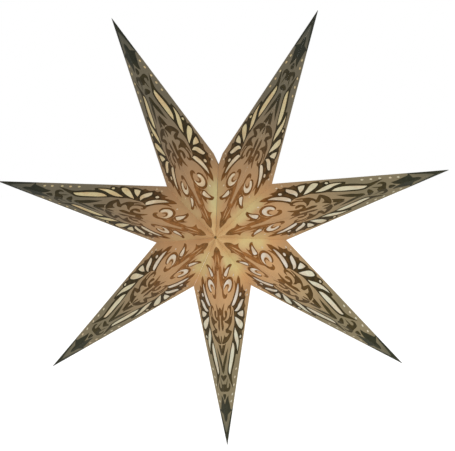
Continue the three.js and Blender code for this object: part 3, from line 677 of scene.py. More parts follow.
def panel_mesh(name, axes, flat, heights, faces, slots, ridge):
    """A mesh in the panel's place, from flat points and their heights out of the lantern."""
    apex, along, across, outward = (np.array(way) for way in axes)
    places = apex + flat[:, :1] * along + flat[:, 1:] * across + heights[:, None] * outward
    if np.dot(np.cross(along, across), outward) < 0:
        faces = [face[::-1] for face in faces]
    mesh = bpy.data.meshes.new(name)
    mesh.from_pydata(places.tolist(), [], faces)
    mesh.polygons.foreach_set("material_index", np.asarray(slots, dtype=np.int32))
    corners = np.empty(len(mesh.loops), dtype=np.int32)
    mesh.loops.foreach_get("vertex_index", corners)
    mesh.uv_layers.new(name="Panel").data.foreach_set("uv", (flat[corners] / ridge).ravel())
    mesh.update()
    return mesh, places


def lay(mesh, layer, values):
    """Stores one number for each vertex, for a material to read."""
    numbers = mesh.attributes.new(layer, "FLOAT", "POINT").data
    numbers.foreach_set("value", np.asarray(values, dtype=np.float32))


def lamp_lift(places, paper):
    """How much nearer the paper is to the hanging lamp than the star's middle is, in steps."""
    from_middle = places - np.array(star_centre(paper))
    return np.clip(from_middle @ np.array(TO_LAMP) / LAMP_REACH, *LIFT_LIMITS)


def dent_depths(flat, index, paper):
    """A panel's soft dents, from 0 to 1, that die out towards the ridge."""
    seed = index * DENT_SHIFT
    deep = np.array([noise.noise(Vector((x * DENTS, y * DENTS, seed))) for x, y in flat])
    return np.clip(0.5 + deep, 0, 1) * np.clip(flat[:, 1] / (2 * paper.thinning), 0, 1)


# Nodes

VALUE, VECTOR, COLOUR = "NodeSocketFloat", "NodeSocketVector", "NodeSocketColor"

# Where fine noise mostly lies
NOISE_SPREAD = (0.2, 0.8)


def add_node(tree, kind, inputs=(), **settings):
    """Adds a node, sets its choices, and fills its inputs with values or links."""
    made = tree.nodes.new(kind)
    for key, value in settings.items():
        setattr(made, key, value)
    for key, value in dict(inputs).items():
        if isinstance(value, bpy.types.NodeSocket):
            tree.links.new(value, made.inputs[key])
        else:
            made.inputs[key].default_value = value
    return made


def calculate(tree, operation, first, second, clamp=False):
    inputs = {0: first, 1: second}
    made = add_node(tree, "ShaderNodeMath", inputs, operation=operation, use_clamp=clamp)
    return made.outputs[0]


def plus(tree, first, *others):
    for other in others:
        first = calculate(tree, "ADD", first, other)
    return first


def times(tree, first, *others):
    for other in others:
        first = calculate(tree, "MULTIPLY", first, other)
    return first


def vector_maths(tree, operation, *values):
    inputs = dict(enumerate(values))
    return add_node(tree, "ShaderNodeVectorMath", inputs, operation=operation).outputs


def brighten(tree, value, factor):
    inputs = {0: value, "Scale": factor}
    return add_node(tree, "ShaderNodeVectorMath", inputs, operation="SCALE").outputs[0]


def opaque(value):
    return value if isinstance(value, bpy.types.NodeSocket) else (*value[:3], 1)


def mix_colours(tree, share, first, second):
    inputs = {0: share, 6: opaque(first), 7: opaque(second)}
    return add_node(tree, "ShaderNodeMix", inputs, data_type="RGBA").outputs[2]


def fade(tree, value, start, end, low=0.0, high=1.0):
    """A smooth change from low to high while a value goes from start to end."""
    inputs = {0: value, 1: start, 2: end, 3: low, 4: high}
    return add_node(tree, "ShaderNodeMapRange", inputs, interpolation_type="SMOOTHSTEP").outputs[0]


def spread(tree, grain, low, high):
    """Fine noise spread from low to high, as for a roughness."""
    return fade(tree, grain, *NOISE_SPREAD, low, high)


def cloudy(tree, place, scale, detail=2.0, roughness=0.5):
    inputs = {"Vector": place, "Scale": scale, "Detail": detail, "Roughness": roughness}
    return add_node(tree, "ShaderNodeTexNoise", inputs).outputs[0]


def colour_ramp(tree, share, stops):
    made = add_node(tree, "ShaderNodeValToRGB", {"Fac": share})
    elements = made.color_ramp.elements
    elements.remove(elements[1])
    for index, (position, value) in enumerate(stops):
        element = elements.new(position) if index else elements[0]
        element.position = position
        element.color = opaque(value)
    return made.outputs["Color"]


def painted(tree, layer):
    return add_node(tree, "ShaderNodeAttribute", attribute_name=layer).outputs["Fac"]


def on_panel(tree):
    """The place on a flat panel, and how far along its ridge that is, in ridge lengths."""
    panel = add_node(tree, "ShaderNodeUVMap", uv_map="Panel").outputs["UV"]
    return panel, add_node(tree, "ShaderNodeSeparateXYZ", {0: panel}).outputs["X"]


def effect(name, inputs, outputs, wire):
    """A node group that several materials share, built once by a function of its inputs."""
    tree = bpy.data.node_groups.get(name)
    if tree is None:
        tree = bpy.data.node_groups.new(name, "ShaderNodeTree")
        for label, kind, default in inputs:
            socket = tree.interface.new_socket(label, in_out="INPUT", socket_type=kind)
            if default is not None:
                socket.default_value = default
        for label, kind in outputs:
            tree.interface.new_socket(label, in_out="OUTPUT", socket_type=kind)
        source = tree.nodes.new("NodeGroupInput")
        add_node(tree, "NodeGroupOutput", wire(tree, source.outputs))
    return tree


def use_effect(tree, group, inputs):
    return add_node(tree, "ShaderNodeGroup", inputs, node_tree=group).outputs


def paper_fibres():
    """Fine fibres and soft clouds in paper, both from 0 to 1, and their relief."""
    fibre_shape, long_scale, cloud_height = (1, 0.35, 0.35), 0.7, 0.6

    def wire(tree, given):
        place, scale = given["Vector"], given["Fibre Scale"]
        fine = cloudy(tree, place, scale, 3, 0.6)
        stretched = add_node(tree, "ShaderNodeMapping", {"Vector": place, "Scale": fibre_shape})
        long = cloudy(tree, stretched.outputs[0], times(tree, scale, long_scale))
        fibre = times(tree, plus(tree, fine, long), 0.5)
        cloud = cloudy(tree, place, given["Cloud Scale"], 3, 0.55)
        height = plus(tree, fibre, times(tree, cloud, cloud_height))
        return {"Fibre": fibre, "Cloud": cloud, "Height": height}

    return effect(
        "Paper fibres",
        [("Vector", VECTOR, None), ("Fibre Scale", VALUE, 900), ("Cloud Scale", VALUE, 34)],
        [("Fibre", VALUE), ("Cloud", VALUE), ("Height", VALUE)],
        wire,
    )


def fold_lines(paper):
    """How far a point of a panel is from its ridge and its seam, and painted light along its
    creases.
    """
    ridge, notch_along, notch_across = half_ray_size(paper)
    notch = Vector((notch_along, notch_across, 0))
    seam = notch.normalized()
    edge = (Vector((ridge, 0, 0)) - notch).normalized()
    edge_offset = (notch_across * edge.x - notch_along * edge.y) / ridge
    ragged_scale, fold_glow_reach = 420, 1.2

    def wire(tree, given):
        ridge_gap = add_node(tree, "ShaderNodeSeparateXYZ", {0: given["Vector"]}).outputs["Y"]
        seam_gap, edge_gap = (
            vector_maths(tree, "DOT_PRODUCT", given["Vector"], (way.y, -way.x, 0))["Value"]
            for way in (seam, edge)
        )
        edge_gap = plus(tree, edge_gap, edge_offset)
        nearest = calculate(tree, "MINIMUM", seam_gap, edge_gap)
        nearest = calculate(tree, "MINIMUM", ridge_gap, nearest)
        ragged = times(tree, cloudy(tree, given["Place"], ragged_scale), given["Width"])
        reach = times(tree, given["Width"], fold_glow_reach)
        # Painted light: 1 at the creases, where the lamp's light shines through the pressed paper,
        # and 0 a little way off
        fold_glow = fade(tree, plus(tree, nearest, ragged), reach, 0)
        return {"Ridge": ridge_gap, "Seam": seam_gap, "Fold Glow": fold_glow}

    return effect(
        "Fold lines",
        [("Vector", VECTOR, None), ("Place", VECTOR, None), ("Width", VALUE, 0.004)],
        [("Ridge", VALUE), ("Seam", VALUE), ("Fold Glow", VALUE)],
        wire,
    )


def lamplight():
    """Warms and brightens a colour where the lamp stands nearer than in the star's middle."""
    def wire(tree, given):
        lift, strength = given["Lift"], given["Strength"]
        raised = vector_maths(tree, "MULTIPLY_ADD", lift, strength, (1, 1, 1))[0]
        return {"Colour": vector_maths(tree, "MULTIPLY", given["Colour"], raised)[0]}

    return effect(
        "Lamplight",
        [("Colour", COLOUR, None), ("Lift", VALUE, 0), ("Strength", VECTOR, (0.6, 0.5, 0.1))],
        [("Colour", COLOUR)],
        wire,
    )


def lamplit(tree, tone, strength):
    """A panel's colour in the lamp's light, with a strength for red, green and blue."""
    inputs = {"Colour": tone, "Lift": painted(tree, "lift"), "Strength": strength}
    return use_effect(tree, lamplight(), inputs)["Colour"]


def surface_grain():
    """Moulded or cast grain: broad cloudiness, fine grain and its relief."""
    def wire(tree, given):
        broad = cloudy(tree, given["Vector"], given["Broad Scale"])
        fine = cloudy(tree, given["Vector"], given["Grain Scale"], 3, 0.7)
        return {"Broad": broad, "Fine": fine, "Height": plus(tree, fine, times(tree, broad, 0.5))}

    return effect(
        "Surface grain",
        [("Vector", VECTOR, None), ("Grain Scale", VALUE, 2500), ("Broad Scale", VALUE, 90)],
        [("Broad", VALUE), ("Fine", VALUE), ("Height", VALUE)],
        wire,
    )


def grained(tree, place, fine=2500, broad=90):
    """The grain of a surface, with the scales of its fine and its broad grain."""
    inputs = {"Vector": place, "Grain Scale": fine, "Broad Scale": broad}
    return use_effect(tree, surface_grain(), inputs)


# Materials

# Relief of the paper's fibres: depth in metres, and strength
FIBRE_RELIEF = (0.00012, 0.6)


def shaded(name, build):
    """A material, made once, whose build function fills a shader's inputs."""
    material = bpy.data.materials.get(name)
    if material is None:
        material = bpy.data.materials.new(name)
        material.use_nodes = True
        tree = material.node_tree
        tree.nodes.clear()
        place = add_node(tree, "ShaderNodeTexCoord").outputs["Object"]
        shader = add_node(tree, "ShaderNodeBsdfPrincipled", build(tree, place))
        add_node(tree, "ShaderNodeOutputMaterial", {"Surface": shader.outputs[0]})
    return material


def relief(tree, height, depth, strength):
    inputs = {"Height": height, "Distance": depth, "Strength": strength}
    return add_node(tree, "ShaderNodeBump", inputs).outputs[0]


def ink_tone(tree, place, reach, drifting, folds, tone, colours):
    """Print: lighter along the ridge near the centre, and shaded beside the cut-outs."""
    flame_across, flame_starts, flame_ends = (0.036, 0.024), (0.06, 0.1), (0.26, 0.2)
    shade_grows, least_shade, most_shade = (0.24, 0.36), 0.2, 0.8
    patch_scale, patches, darkest, lightest = 190, (0.25, 0.75), 0.78, 1.28
    flame = times(
        tree,
        fade(tree, folds["Ridge"], *flame_across),
        fade(tree, drifting, *flame_starts),
        fade(tree, drifting, *flame_ends),
    )
    tone = mix_colours(tree, flame, tone, colours.ink_flame)
    shade = fade(tree, reach, *shade_grows, least_shade, most_shade)
    tone = mix_colours(tree, times(tree, painted(tree, "beside"), shade), tone, colours.ink_shade)
    patchy = fade(tree, cloudy(tree, place, patch_scale), *patches, darkest, lightest)
    return brighten(tree, tone, patchy)


def ground_tone(tree, reach, drift, drifting, folds, tone, colours):
    """Bare paper: it glows along the seams near the centre, and is darker along the ridge."""
    glow_across, glow_ends = (0.065, 0.015), (0.33, 0.19)
    nearest_starts, nearest_ends = (0.07, 0.13), (0.26, 0.19)
    lit_across, lit_ends, most_lit = (0.08, 0.01), (0.4, 0.25), 1.05
    shade_across, shade = (0.005, 0.05), 0.89
    shade_starts, shade_ends, no_shade = (0.15, 0.07), (0.32, 0.5), 0.05
    # Painted light: a pale colour laid along the creases for the lamp's light shining through them
    worn_and_fold_glow, most_fold_glow = srgb(214, 190, 152), 0.2
    near_seam = fade(tree, plus(tree, folds["Seam"], drift), *glow_across)
    glow = times(tree, near_seam, fade(tree, drifting, *glow_ends))
    glow = calculate(tree, "MULTIPLY", glow, painted(tree, "glow"), clamp=True)
    nearest = times(
        tree, fade(tree, drifting, *nearest_starts), fade(tree, drifting, *nearest_ends)
    )
    warm = mix_colours(tree, nearest, colours.seam_lit, colours.seam_glow)
    tone = mix_colours(tree, glow, tone, warm)
    lit = times(tree, fade(tree, folds["Seam"], *lit_across), fade(tree, reach, *lit_ends))
    tone = brighten(tree, tone, fade(tree, lit, 0, 1, 1, most_lit))
    away = plus(
        tree,
        folds["Ridge"],
        fade(tree, drifting, *shade_ends, 0, no_shade),
        fade(tree, drifting, *shade_starts, 0, no_shade),
    )
    tone = brighten(tree, tone, fade(tree, away, *shade_across, shade, 1))
    # Painted light along the creases
    return mix_colours(tree, times(tree, folds["Fold Glow"], most_fold_glow), tone, worn_and_fold_glow)


def printed_paper(name, paper, colours, inked):
    """The star's paper seen from outside, bare or printed: colour by the way from the centre."""
    if inked:
        strength, gloss = (0.2, 0.18, 0.1), (0.58, 0.8)
        stops = [
            (0.05, colours.ink_centre), (0.1, colours.ink_inner), (0.24, colours.ink_inner),
            (0.4, colours.ink_middle), (0.56, colours.ink_outer), (0.72, colours.ink_outer),
            (0.79, colours.ink_tip),
        ]
    else:
        strength, gloss = (0.25, 0.23, 0.17), (0.68, 0.9)
        stops = [
            (0, colours.ground_centre), (0.12, colours.ground_inner), (0.27, colours.ground_inner),
            (0.44, colours.ground_middle), (0.62, colours.ground_outer),
            (0.8, colours.ground_outer), (0.92, colours.ground_tip),
        ]
    wander, cloud_share, fibre_share = 0.08, 0.22, 0.3

    def build(tree, place):
        panel, reach = on_panel(tree)
        fibres = use_effect(tree, paper_fibres(), {"Vector": place})
        folds = use_effect(tree, fold_lines(paper), {"Vector": panel, "Place": place})
        drift = times(tree, calculate(tree, "SUBTRACT", fibres["Cloud"], 0.5), wander)
        drifting = plus(tree, reach, drift)
        tone = colour_ramp(tree, drifting, stops)
        if inked:
            tone = ink_tone(tree, place, reach, drifting, folds, tone, colours)
        else:
            tone = ground_tone(tree, reach, drift, drifting, folds, tone, colours)
        tone = lamplit(tree, tone, strength)
        clouds = plus(tree, times(tree, fibres["Cloud"], cloud_share), 1 - cloud_share / 2)
        threads = plus(tree, times(tree, fibres["Fibre"], fibre_share), 1 - fibre_share / 2)
        tone = brighten(tree, tone, times(tree, clouds, threads))
        return {
            "Base Color": tone,
            "Roughness": spread(tree, fibres["Fibre"], *gloss),
            "Specular IOR Level": 0.12,
            # Painted glow of the lamp shining through the paper: it gives off a little light in its
            # own colour
            "Emission Color": tone,
            "Emission Strength": 0.14,
            "Normal": relief(tree, fibres["Height"], *FIBRE_RELIEF),
        }

    return shaded(name, build)


def plain_paper(name, tone, worn_and_fold_glow):
    """Unprinted paper or card: the inside of a panel, its cut edges, or a tab."""
    def build(tree, place):
        fibres = use_effect(tree, paper_fibres(), {"Vector": place})
        return {
            "Base Color": mix_colours(tree, fade(tree, fibres["Cloud"], 0.3, 0.7), tone, worn_and_fold_glow),
            "Roughness": spread(tree, fibres["Fibre"], 0.75, 0.95),
            "Specular IOR Level": 0.25,
            "Normal": relief(tree, fibres["Height"], *FIBRE_RELIEF),
        }

    return shaded(name, build)


def window_tissue(name, colours):
    """The thin crinkled tissue that glows behind the cut-outs."""
    crease_scale, crease_width = 130, 0.2
    patch_scale, patches, warmest = 75, (0.45, 0.65), 0.55
    crease_light, crinkle_light = 0.95, 0.06
    farthest = [value * 0.85 for value in colours.tissue_outer]

    def build(tree, place):
        _, reach = on_panel(tree)
        inputs = {"Vector": place, "Fibre Scale": 600, "Cloud Scale": 60}
        fibres = use_effect(tree, paper_fibres(), inputs)
        inputs = {"Vector": place, "Scale": crease_scale, "Randomness": 1}
        creases = add_node(tree, "ShaderNodeTexVoronoi", inputs, feature="DISTANCE_TO_EDGE")
        crinkle = fade(tree, creases.outputs["Distance"], 0, crease_width)
        tone = colour_ramp(tree, reach, [
            (0.2, colours.tissue_inner), (0.34, colours.tissue_inner),
            (0.46, colours.tissue_outer), (0.75, farthest),
        ])
        patchy = fade(tree, cloudy(tree, place, patch_scale, 1), *patches, 0, warmest)
        tone = mix_colours(tree, patchy, tone, colours.tissue_warm)
        tone = lamplit(tree, tone, (0.08, 0.14, 0.28))
        tone = brighten(tree, tone, spread(tree, fibres["Cloud"], 0.92, 1.06))
        tone = brighten(tree, tone, plus(tree, times(tree, crinkle, crinkle_light), crease_light))
        return {
            "Base Color": tone,
            "Roughness": spread(tree, fibres["Fibre"], 0.6, 0.85),
            "Specular IOR Level": 0.3,
            "Emission Color": tone,
            "Emission Strength": 0.06,
            "Normal": relief(tree, plus(tree, crinkle, fibres["Height"]), 0.00015, 0.7),
        }

    return shaded(name, build)


def moulded_plastic(name, tone, gloss):
    """Moulded plastic or glass, yellowed a little in broad patches."""
    aged = [tone[0] * 0.97, tone[1] * 0.94, tone[2] * 0.86]

    def build(tree, place):
        grain = grained(tree, place)
        return {
            "Base Color": mix_colours(tree, fade(tree, grain["Broad"], 0.35, 0.75), tone, aged),
            "Roughness": spread(tree, grain["Fine"], gloss, gloss + 0.16),
            "Specular IOR Level": 0.5,
            "Normal": relief(tree, grain["Height"], 0.00003, 0.5),
        }

    return shaded(name, build)


def fired_ceramic(name, tone, speck):
    """Unglazed ceramic with small darker specks."""
    def build(tree, place):
        grain = grained(tree, place, 1800, 160)
        specks = times(tree, fade(tree, grain["Fine"], 0.62, 0.72), 0.35)
        return {
            "Base Color": mix_colours(tree, specks, tone, speck),
            "Roughness": spread(tree, grain["Fine"], 0.6, 0.85),
            "Normal": relief(tree, grain["Height"], 0.00006, 0.6),
        }

    return shaded(name, build)


def worked_metal(name, tone, dull, gloss):
    """Pressed or turned metal with a little tarnish."""
    def build(tree, place):
        grain = grained(tree, place, 1500, 260)
        tarnish = fade(tree, grain["Broad"], 0.45, 0.7)
        rough = fade(tree, plus(tree, tarnish, grain["Fine"]), 0.2, 1.6, gloss, gloss + 0.25)
        return {
            "Base Color": mix_colours(tree, times(tree, tarnish, 0.6), tone, dull),
            "Metallic": 1.0,
            "Roughness": rough,
            "Normal": relief(tree, grain["Height"], 0.00002, 0.4),
        }

    return shaded(name, build)


def bulb_envelope(name, tone):
    """Satin glass: the lamp's filaments show through it as a soft glow."""
    shaded_tone = [value * 0.95 for value in tone]

    def build(tree, place):
        grain = grained(tree, place, 900, 60)
        share = fade(tree, grain["Broad"], 0.3, 0.7, 0, 0.4)
        return {
            "Base Color": mix_colours(tree, share, tone, shaded_tone),
            "Roughness": spread(tree, grain["Fine"], 0.28, 0.4),
            "Transmission Weight": 0.85,
            "IOR": 1.47,
            "Normal": relief(tree, grain["Height"], 0.00002, 0.3),
        }

    return shaded(name, build)


def clear_glass(name, tone, thick):
    """Clear glass, faintly darker in broad patches."""
    def build(tree, place):
        grain = grained(tree, place, 300, 80)
        return {
            "Base Color": mix_colours(tree, grain["Broad"], tone, thick),
            "Roughness": spread(tree, grain["Fine"], 0.02, 0.08),
            "Transmission Weight": 1.0,
            "IOR": 1.5,
            "Normal": relief(tree, grain["Broad"], 0.00005, 0.3),
        }

    return shaded(name, build)


def glowing_phosphor(name, tone, deep):
    """The filaments' coating, which gives off warm light."""
    def build(tree, place):
        grain = grained(tree, place, 3000, 500)
        glow = mix_colours(tree, grain["Broad"], tone, deep)
        return {
            "Base Color": glow,
            "Roughness": spread(tree, grain["Fine"], 0.5, 0.7),
            "Emission Color": glow,
            "Emission Strength": 1.2,
            "Normal": relief(tree, grain["Height"], 0.00003, 0.5),
        }

    return shaded(name, build)


def woven_tape(name, tone, pile):
    """Hook-and-loop tape: a woven back under rows of hooks or loops, with painted shade in the
    weave's hollows.
    """
    # Painted shade: the low parts of the weave are darker
    weave_scale, hollow_shade = 260, [value * 0.6 for value in tone]

    def build(tree, place):
        inputs = {"Vector": place, "Scale": weave_scale}
        threads = [
            add_node(tree, "ShaderNodeTexWave", inputs, bands_direction=way).outputs["Fac"]
            for way in "YZ"
        ]
        fuzz = cloudy(tree, place, pile, 4, 0.7)
        height = plus(tree, times(tree, *threads), fuzz)
        return {
            "Base Color": mix_colours(tree, fade(tree, height, 0.3, 1.4), hollow_shade, tone),
            "Roughness": spread(tree, fuzz, 0.75, 0.95),
            "Sheen Weight": 0.3,
            "Normal": relief(tree, height, 0.0003, 0.9),
        }

    return shaded(name, build)


# Modelling

def select_nothing():
    if bpy.context.mode != "OBJECT":
        bpy.ops.object.mode_set(mode="OBJECT")
    bpy.ops.object.select_all(action="DESELECT")


def turned(name, section, steps=64, smooth=32):
    """Draws a closed outline of radius and height, and spins it round the lampholder's axis."""
    select_nothing()
    outline = [*section, section[0]]
    radius, height = outline[0]
    bpy.ops.mesh.primitive_plane_add(size=MM, location=(radius * MM, 0, height * MM))
    bpy.ops.object.mode_set(mode="EDIT")
    bpy.ops.mesh.select_all(action="SELECT")
    bpy.ops.mesh.merge(type="CENTER")
    for (radius, height), (next_radius, next_height) in zip(outline, outline[1:]):
        move = ((next_radius - radius) * MM, 0, (next_height - height) * MM)
        bpy.ops.mesh.extrude_region_move(TRANSFORM_OT_translate={"value": move})
    bpy.ops.mesh.select_all(action="SELECT")
    bpy.ops.mesh.spin(steps=steps, angle=2 * math.pi, center=(0, 0, 0), axis=(0, 0, 1))
    bpy.ops.mesh.select_all(action="SELECT")
    bpy.ops.mesh.remove_doubles(threshold=SAME_VERTEX)
    bpy.ops.mesh.normals_make_consistent(inside=False)
    bpy.ops.object.mode_set(mode="OBJECT")
    bpy.ops.object.transform_apply(location=True, rotation=True, scale=True)
    bpy.ops.object.shade_smooth_by_angle(angle=math.radians(smooth))
    piece = bpy.context.object
    piece.name = piece.data.name = name
    return piece


def rounded(section, radii):
    """A closed outline with some corners rounded: radii gives a radius for a corner's number."""
    made = []
    for index, corner in enumerate(section):
        radius = radii.get(index, 0)
        if not radius:
            made.append(corner)
            continue
        here = Vector(corner)
        to_last = (Vector(section[index - 1]) - here).normalized()
        to_next = (Vector(section[(index + 1) % len(section)]) - here).normalized()
        half = to_last.angle(to_next) / 2
        start = here + to_last * radius / math.tan(half)
        end = here + to_next * radius / math.tan(half)
        centre = here + (to_last + to_next).normalized() * radius / math.sin(half)
        for step in range(ROUNDING_STEPS + 1):
            way = (start - centre).lerp(end - centre, step / ROUNDING_STEPS)
            made.append(tuple(centre + way.normalized() * radius))
    return made


def reshape(piece, change):
    """Moves a turned piece's vertices to the radii that change makes of radius, turn and height,
    with the lengths in millimetres."""
    count = len(piece.data.vertices)
    places = np.empty(count * 3)
    piece.data.vertices.foreach_get("co", places)
    places = places.reshape(-1, 3)
    radius = np.hypot(places[:, 0], places[:, 1]) / MM
    turn = np.arctan2(places[:, 1], places[:, 0])
    changed = change(radius, turn, places[:, 2] / MM)
    places[:, 0], places[:, 1] = changed * MM * np.cos(turn), changed * MM * np.sin(turn)
    piece.data.vertices.foreach_set("co", places.ravel())
    piece.data.update()


def between(height, top, foot, run):
    """1 between two heights, and down to 0 at them over a short run."""
    return np.clip((top - height) / run, 0, 1) * np.clip((height - foot) / run, 0, 1)


def thread_wave(holder, turn, height):
    """A right-hand thread's profile, from 0 at its root to 1 at its crest."""
    phase = 2 * math.pi * height * MM / holder.thread_pitch - turn
    return 0.5 + 0.5 * np.cos(phase)


def dress(piece, material, body, slot, *nodes):
    """Gives a piece its finish and the body it rides on, and hides the solids it stands for."""
    for layer in material if isinstance(material, list) else [material]:
        piece.data.materials.append(layer)
    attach(piece, body)
    if nodes:
        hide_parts(*nodes)


def dress_panel(mesh, material, node, *nodes):
    """Makes a panel's mesh a piece of paper that rides with its solid."""
    piece = bpy.data.objects.new(mesh.name, mesh)
    bpy.context.scene.collection.objects.link(piece)
    dress(piece, material, frame["nodes"][node]["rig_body"], "paper", *nodes)


def coat(node, material):
    """A better finish on a solid that stays."""
    solid = frame["nodes"][node]
    for slot in solid.material_slots:
        slot.material = material
    if not solid.material_slots:
        solid.data.materials.append(material)


# Operators

class LANTERN_OT_printed_paper(bpy.types.Operator):
    """Lays the pierced and printed paper over every panel of the rays"""

    bl_idname = "lantern.printed_paper"
    bl_label = "Printed paper"

    def execute(self, context):
        paper, colours = context.scene.lantern_paper, context.scene.lantern_colours
        finishes = [
            printed_paper("Bare outside paper", paper, colours, inked=False),
            printed_paper("Printed leaf scrolls", paper, colours, inked=True),
            plain_paper("Inside of the paper", srgb(176, 148, 112), srgb(160, 132, 98)),
            plain_paper("Cut edge of the paper", srgb(196, 172, 132), srgb(176, 150, 112)),
        ]
        ridge = half_ray_size(paper)[0]
        sorts = itertools.product((1, -1), (False, True))
        cut = {sort: flat_sheet(paper, *sort) for sort in sorts}
        for index, (node, number, face, hand, open_seam) in enumerate(panels()):
            flat, faces, inked, cut_line = cut[face, open_seam]
            outer = -paper.dent * dent_depths(flat, index, paper)
            border = border_distance(flat, panel_outline(paper, face, open_seam))
            pressed = paper.sheet * (border / paper.thinning)
            inner = outer - np.clip(pressed, paper.pressed, paper.sheet)
            flat_twice, heights, made, slots = closed_sheet(flat, faces, inked, outer, inner)
            axes = panel_axes(paper, number, face, hand)
            mesh, places = panel_mesh(
                node + "_sheet", axes, flat_twice, heights, made, slots, ridge
            )
            lay(mesh, "lift", lamp_lift(places, paper))
            lay(mesh, "glow", np.full(len(places), SEAM_LIGHT[number][0 if hand > 0 else 1]))
            beside = np.clip(1 - distance_to(flat, cut_line) / SHADE_REACH, 0, 1)
            lay(mesh, "beside", np.concatenate([beside, beside]))
            dress_panel(mesh, finishes, node, node)
        return {"FINISHED"}


class LANTERN_OT_window_tissue(bpy.types.Operator):
    """Lays thin tissue behind the cut-outs of every panel"""

    bl_idname = "lantern.window_tissue"
    bl_label = "Window tissue"

    def execute(self, context):
        paper, colours = context.scene.lantern_paper, context.scene.lantern_colours
        finish = window_tissue("Crinkled window tissue", colours)
        ridge = half_ray_size(paper)[0]
        step = paper.mesh_step
        for index, (node, number, face, hand, open_seam) in enumerate(panels()):
            outline = panel_outline(paper, face, open_seam, TISSUE_INSET, TISSUE_RIDGE_INSET)
            flat, faces = triangulate([divided(outline, step)], grid_points(outline, step))
            flat, faces = keep(flat, faces, inside(flat[faces].mean(axis=1), outline))
            outer = -paper.dent * dent_depths(flat, index, paper) - paper.sheet - paper.tissue_gap
            plain = np.zeros(len(faces), bool)
            flat_twice, heights, made, _ = closed_sheet(
                flat, faces, plain, outer, outer - paper.tissue
            )
            axes = panel_axes(paper, number, face, hand)
            slots = np.zeros(len(made))
            mesh, places = panel_mesh(
                node + "_tissue", axes, flat_twice, heights, made, slots, ridge
            )
            lay(mesh, "lift", lamp_lift(places, paper))
            dress_panel(mesh, finish, node)
        return {"FINISHED"}


class LANTERN_OT_closing_tabs(bpy.types.Operator):
    """Finishes the card tabs and the tapes that hold the open seam shut"""

    bl_idname = "lantern.closing_tabs"
    bl_label = "Closing tabs"

    def execute(self, context):
        card = plain_paper("Stiff card", srgb(216, 202, 178), srgb(200, 184, 156))
        hooks = woven_tape("Hook tape", srgb(232, 228, 218), 1400)
        loops = woven_tape("Loop tape", srgb(238, 234, 226), 2400)
        for face in ("front", "back"):
            for hand in ("left", "right"):
                coat(f"closing_tab_{face}_{hand}", card)
            coat(f"hook_tape_{face}", hooks)
            coat(f"loop_tape_{face}", loops)
        return {"FINISHED"}


class LANTERN_OT_lampholder(bpy.types.Operator):
    """Models the cap, the body and the screw shell, and finishes the contacts and screws"""

    bl_idname = "lantern.lampholder"
    bl_label = "Lampholder"

    def execute(self, context):
        holder = context.scene.lantern_holder
        plastic = moulded_plastic("Satin holder plastic", holder.plastic, 0.38)
        brass = worked_metal("Pressed brass", srgb(206, 172, 96), srgb(150, 116, 62), 0.22)
        steel = worked_metal("Zinc plated steel", srgb(200, 202, 206), srgb(158, 162, 168), 0.28)
        ceramic = fired_ceramic("Unglazed ceramic", srgb(232, 226, 208), srgb(150, 138, 118))
        dress(self.cap(holder), plastic, "root", "holder_plastic", "holder_cap")
        dress(self.body(), plastic, "root", "holder_plastic", "holder_body")
        dress(self.shell(holder), brass, "root", "brass", "screw_shell")
        coat("contact_block", ceramic)
        coat("centre_contact", brass)
        coat("cord_grip_screw", steel)
        coat("terminal_screw_live", brass)
        coat("terminal_screw_neutral", steel)
        return {"FINISHED"}

    def cap(self, holder):
        """The cap: a neck round the cord, a cone that carries the star and a fluted skirt."""
        cap = turned("holder_cap_shell", rounded(CAP_SECTION, CAP_ROUNDING), steps=144)

        def flute(radius, turn, height):
            wave = 0.5 - 0.5 * np.cos(holder.flutes * turn)
            depth = holder.flute_depth / MM * wave * between(height, **FLUTES)
            return np.where(radius > SKIRT_WALL, radius - depth, radius)

        reshape(cap, flute)
        self.drill_grip_hole(cap)
        return cap

    def drill_grip_hole(self, cap):
        """Drills the neck for the screw that grips the cord."""
        select_nothing()
        bpy.ops.mesh.primitive_cylinder_add(vertices=32, rotation=(0, math.pi / 2, 0), **GRIP_HOLE)
        drill = bpy.context.object
        select_nothing()
        cap.select_set(True)
        bpy.context.view_layer.objects.active = cap
        bpy.ops.object.modifier_add(type="BOOLEAN")
        cap.modifiers[-1].object = drill
        cap.modifiers[-1].operation = "DIFFERENCE"
        bpy.ops.object.modifier_apply(modifier=cap.modifiers[-1].name)
        bpy.data.objects.remove(drill)

    def body(self):
        """The body: a spigot inside the cap, a shoulder over the contact block and a sleeve."""
        upper = SPIGOT + [
            (radius, height + down) for height in GROOVE_HEIGHTS for radius, down in GROOVE
        ]
        rounding = dict(SPIGOT_ROUNDING)
        for corner, radius in SLEEVE_ROUNDING.items():
            rounding[len(upper) + corner] = radius
        return turned("holder_body_sleeve", rounded(upper + SLEEVE_MOUTH, rounding), steps=96)

    def shell(self, holder):
        """The screw shell: thin brass rolled to the bulb's thread, hung from its rim."""
        rings = np.linspace(*SHELL_RINGS)
        section = [
            (SHELL_INSIDE, SHELL_TOP), (SHELL_RIM_RADIUS, SHELL_TOP),
            (SHELL_RIM_RADIUS, SHELL_RIM), (SHELL_OUTSIDE, SHELL_RIM),
        ]
        section += [(SHELL_OUTSIDE, height) for height in rings]
        section += [(SHELL_OUTSIDE, SHELL_FOOT), (SHELL_INSIDE, SHELL_FOOT)]
        section += [(SHELL_INSIDE, height) for height in rings[::-1]]
        shell = turned("screw_shell_thread", section, steps=72, smooth=60)
        in_rim = (SHELL_RIM_RADIUS + SHELL_OUTSIDE) / 2
        in_wall = (SHELL_OUTSIDE + SHELL_INSIDE) / 2

        def roll(radius, turn, height):
            root = 1 - thread_wave(holder, turn, height)
            ends = between(height, **SHELL_THREAD)
            wall = np.where(radius > in_wall, SHELL_ROLLED, SHELL_INSIDE)
            return np.where(radius < in_rim, wall - SHELL_ROLL * root * ends, radius)

        reshape(shell, roll)
        return shell


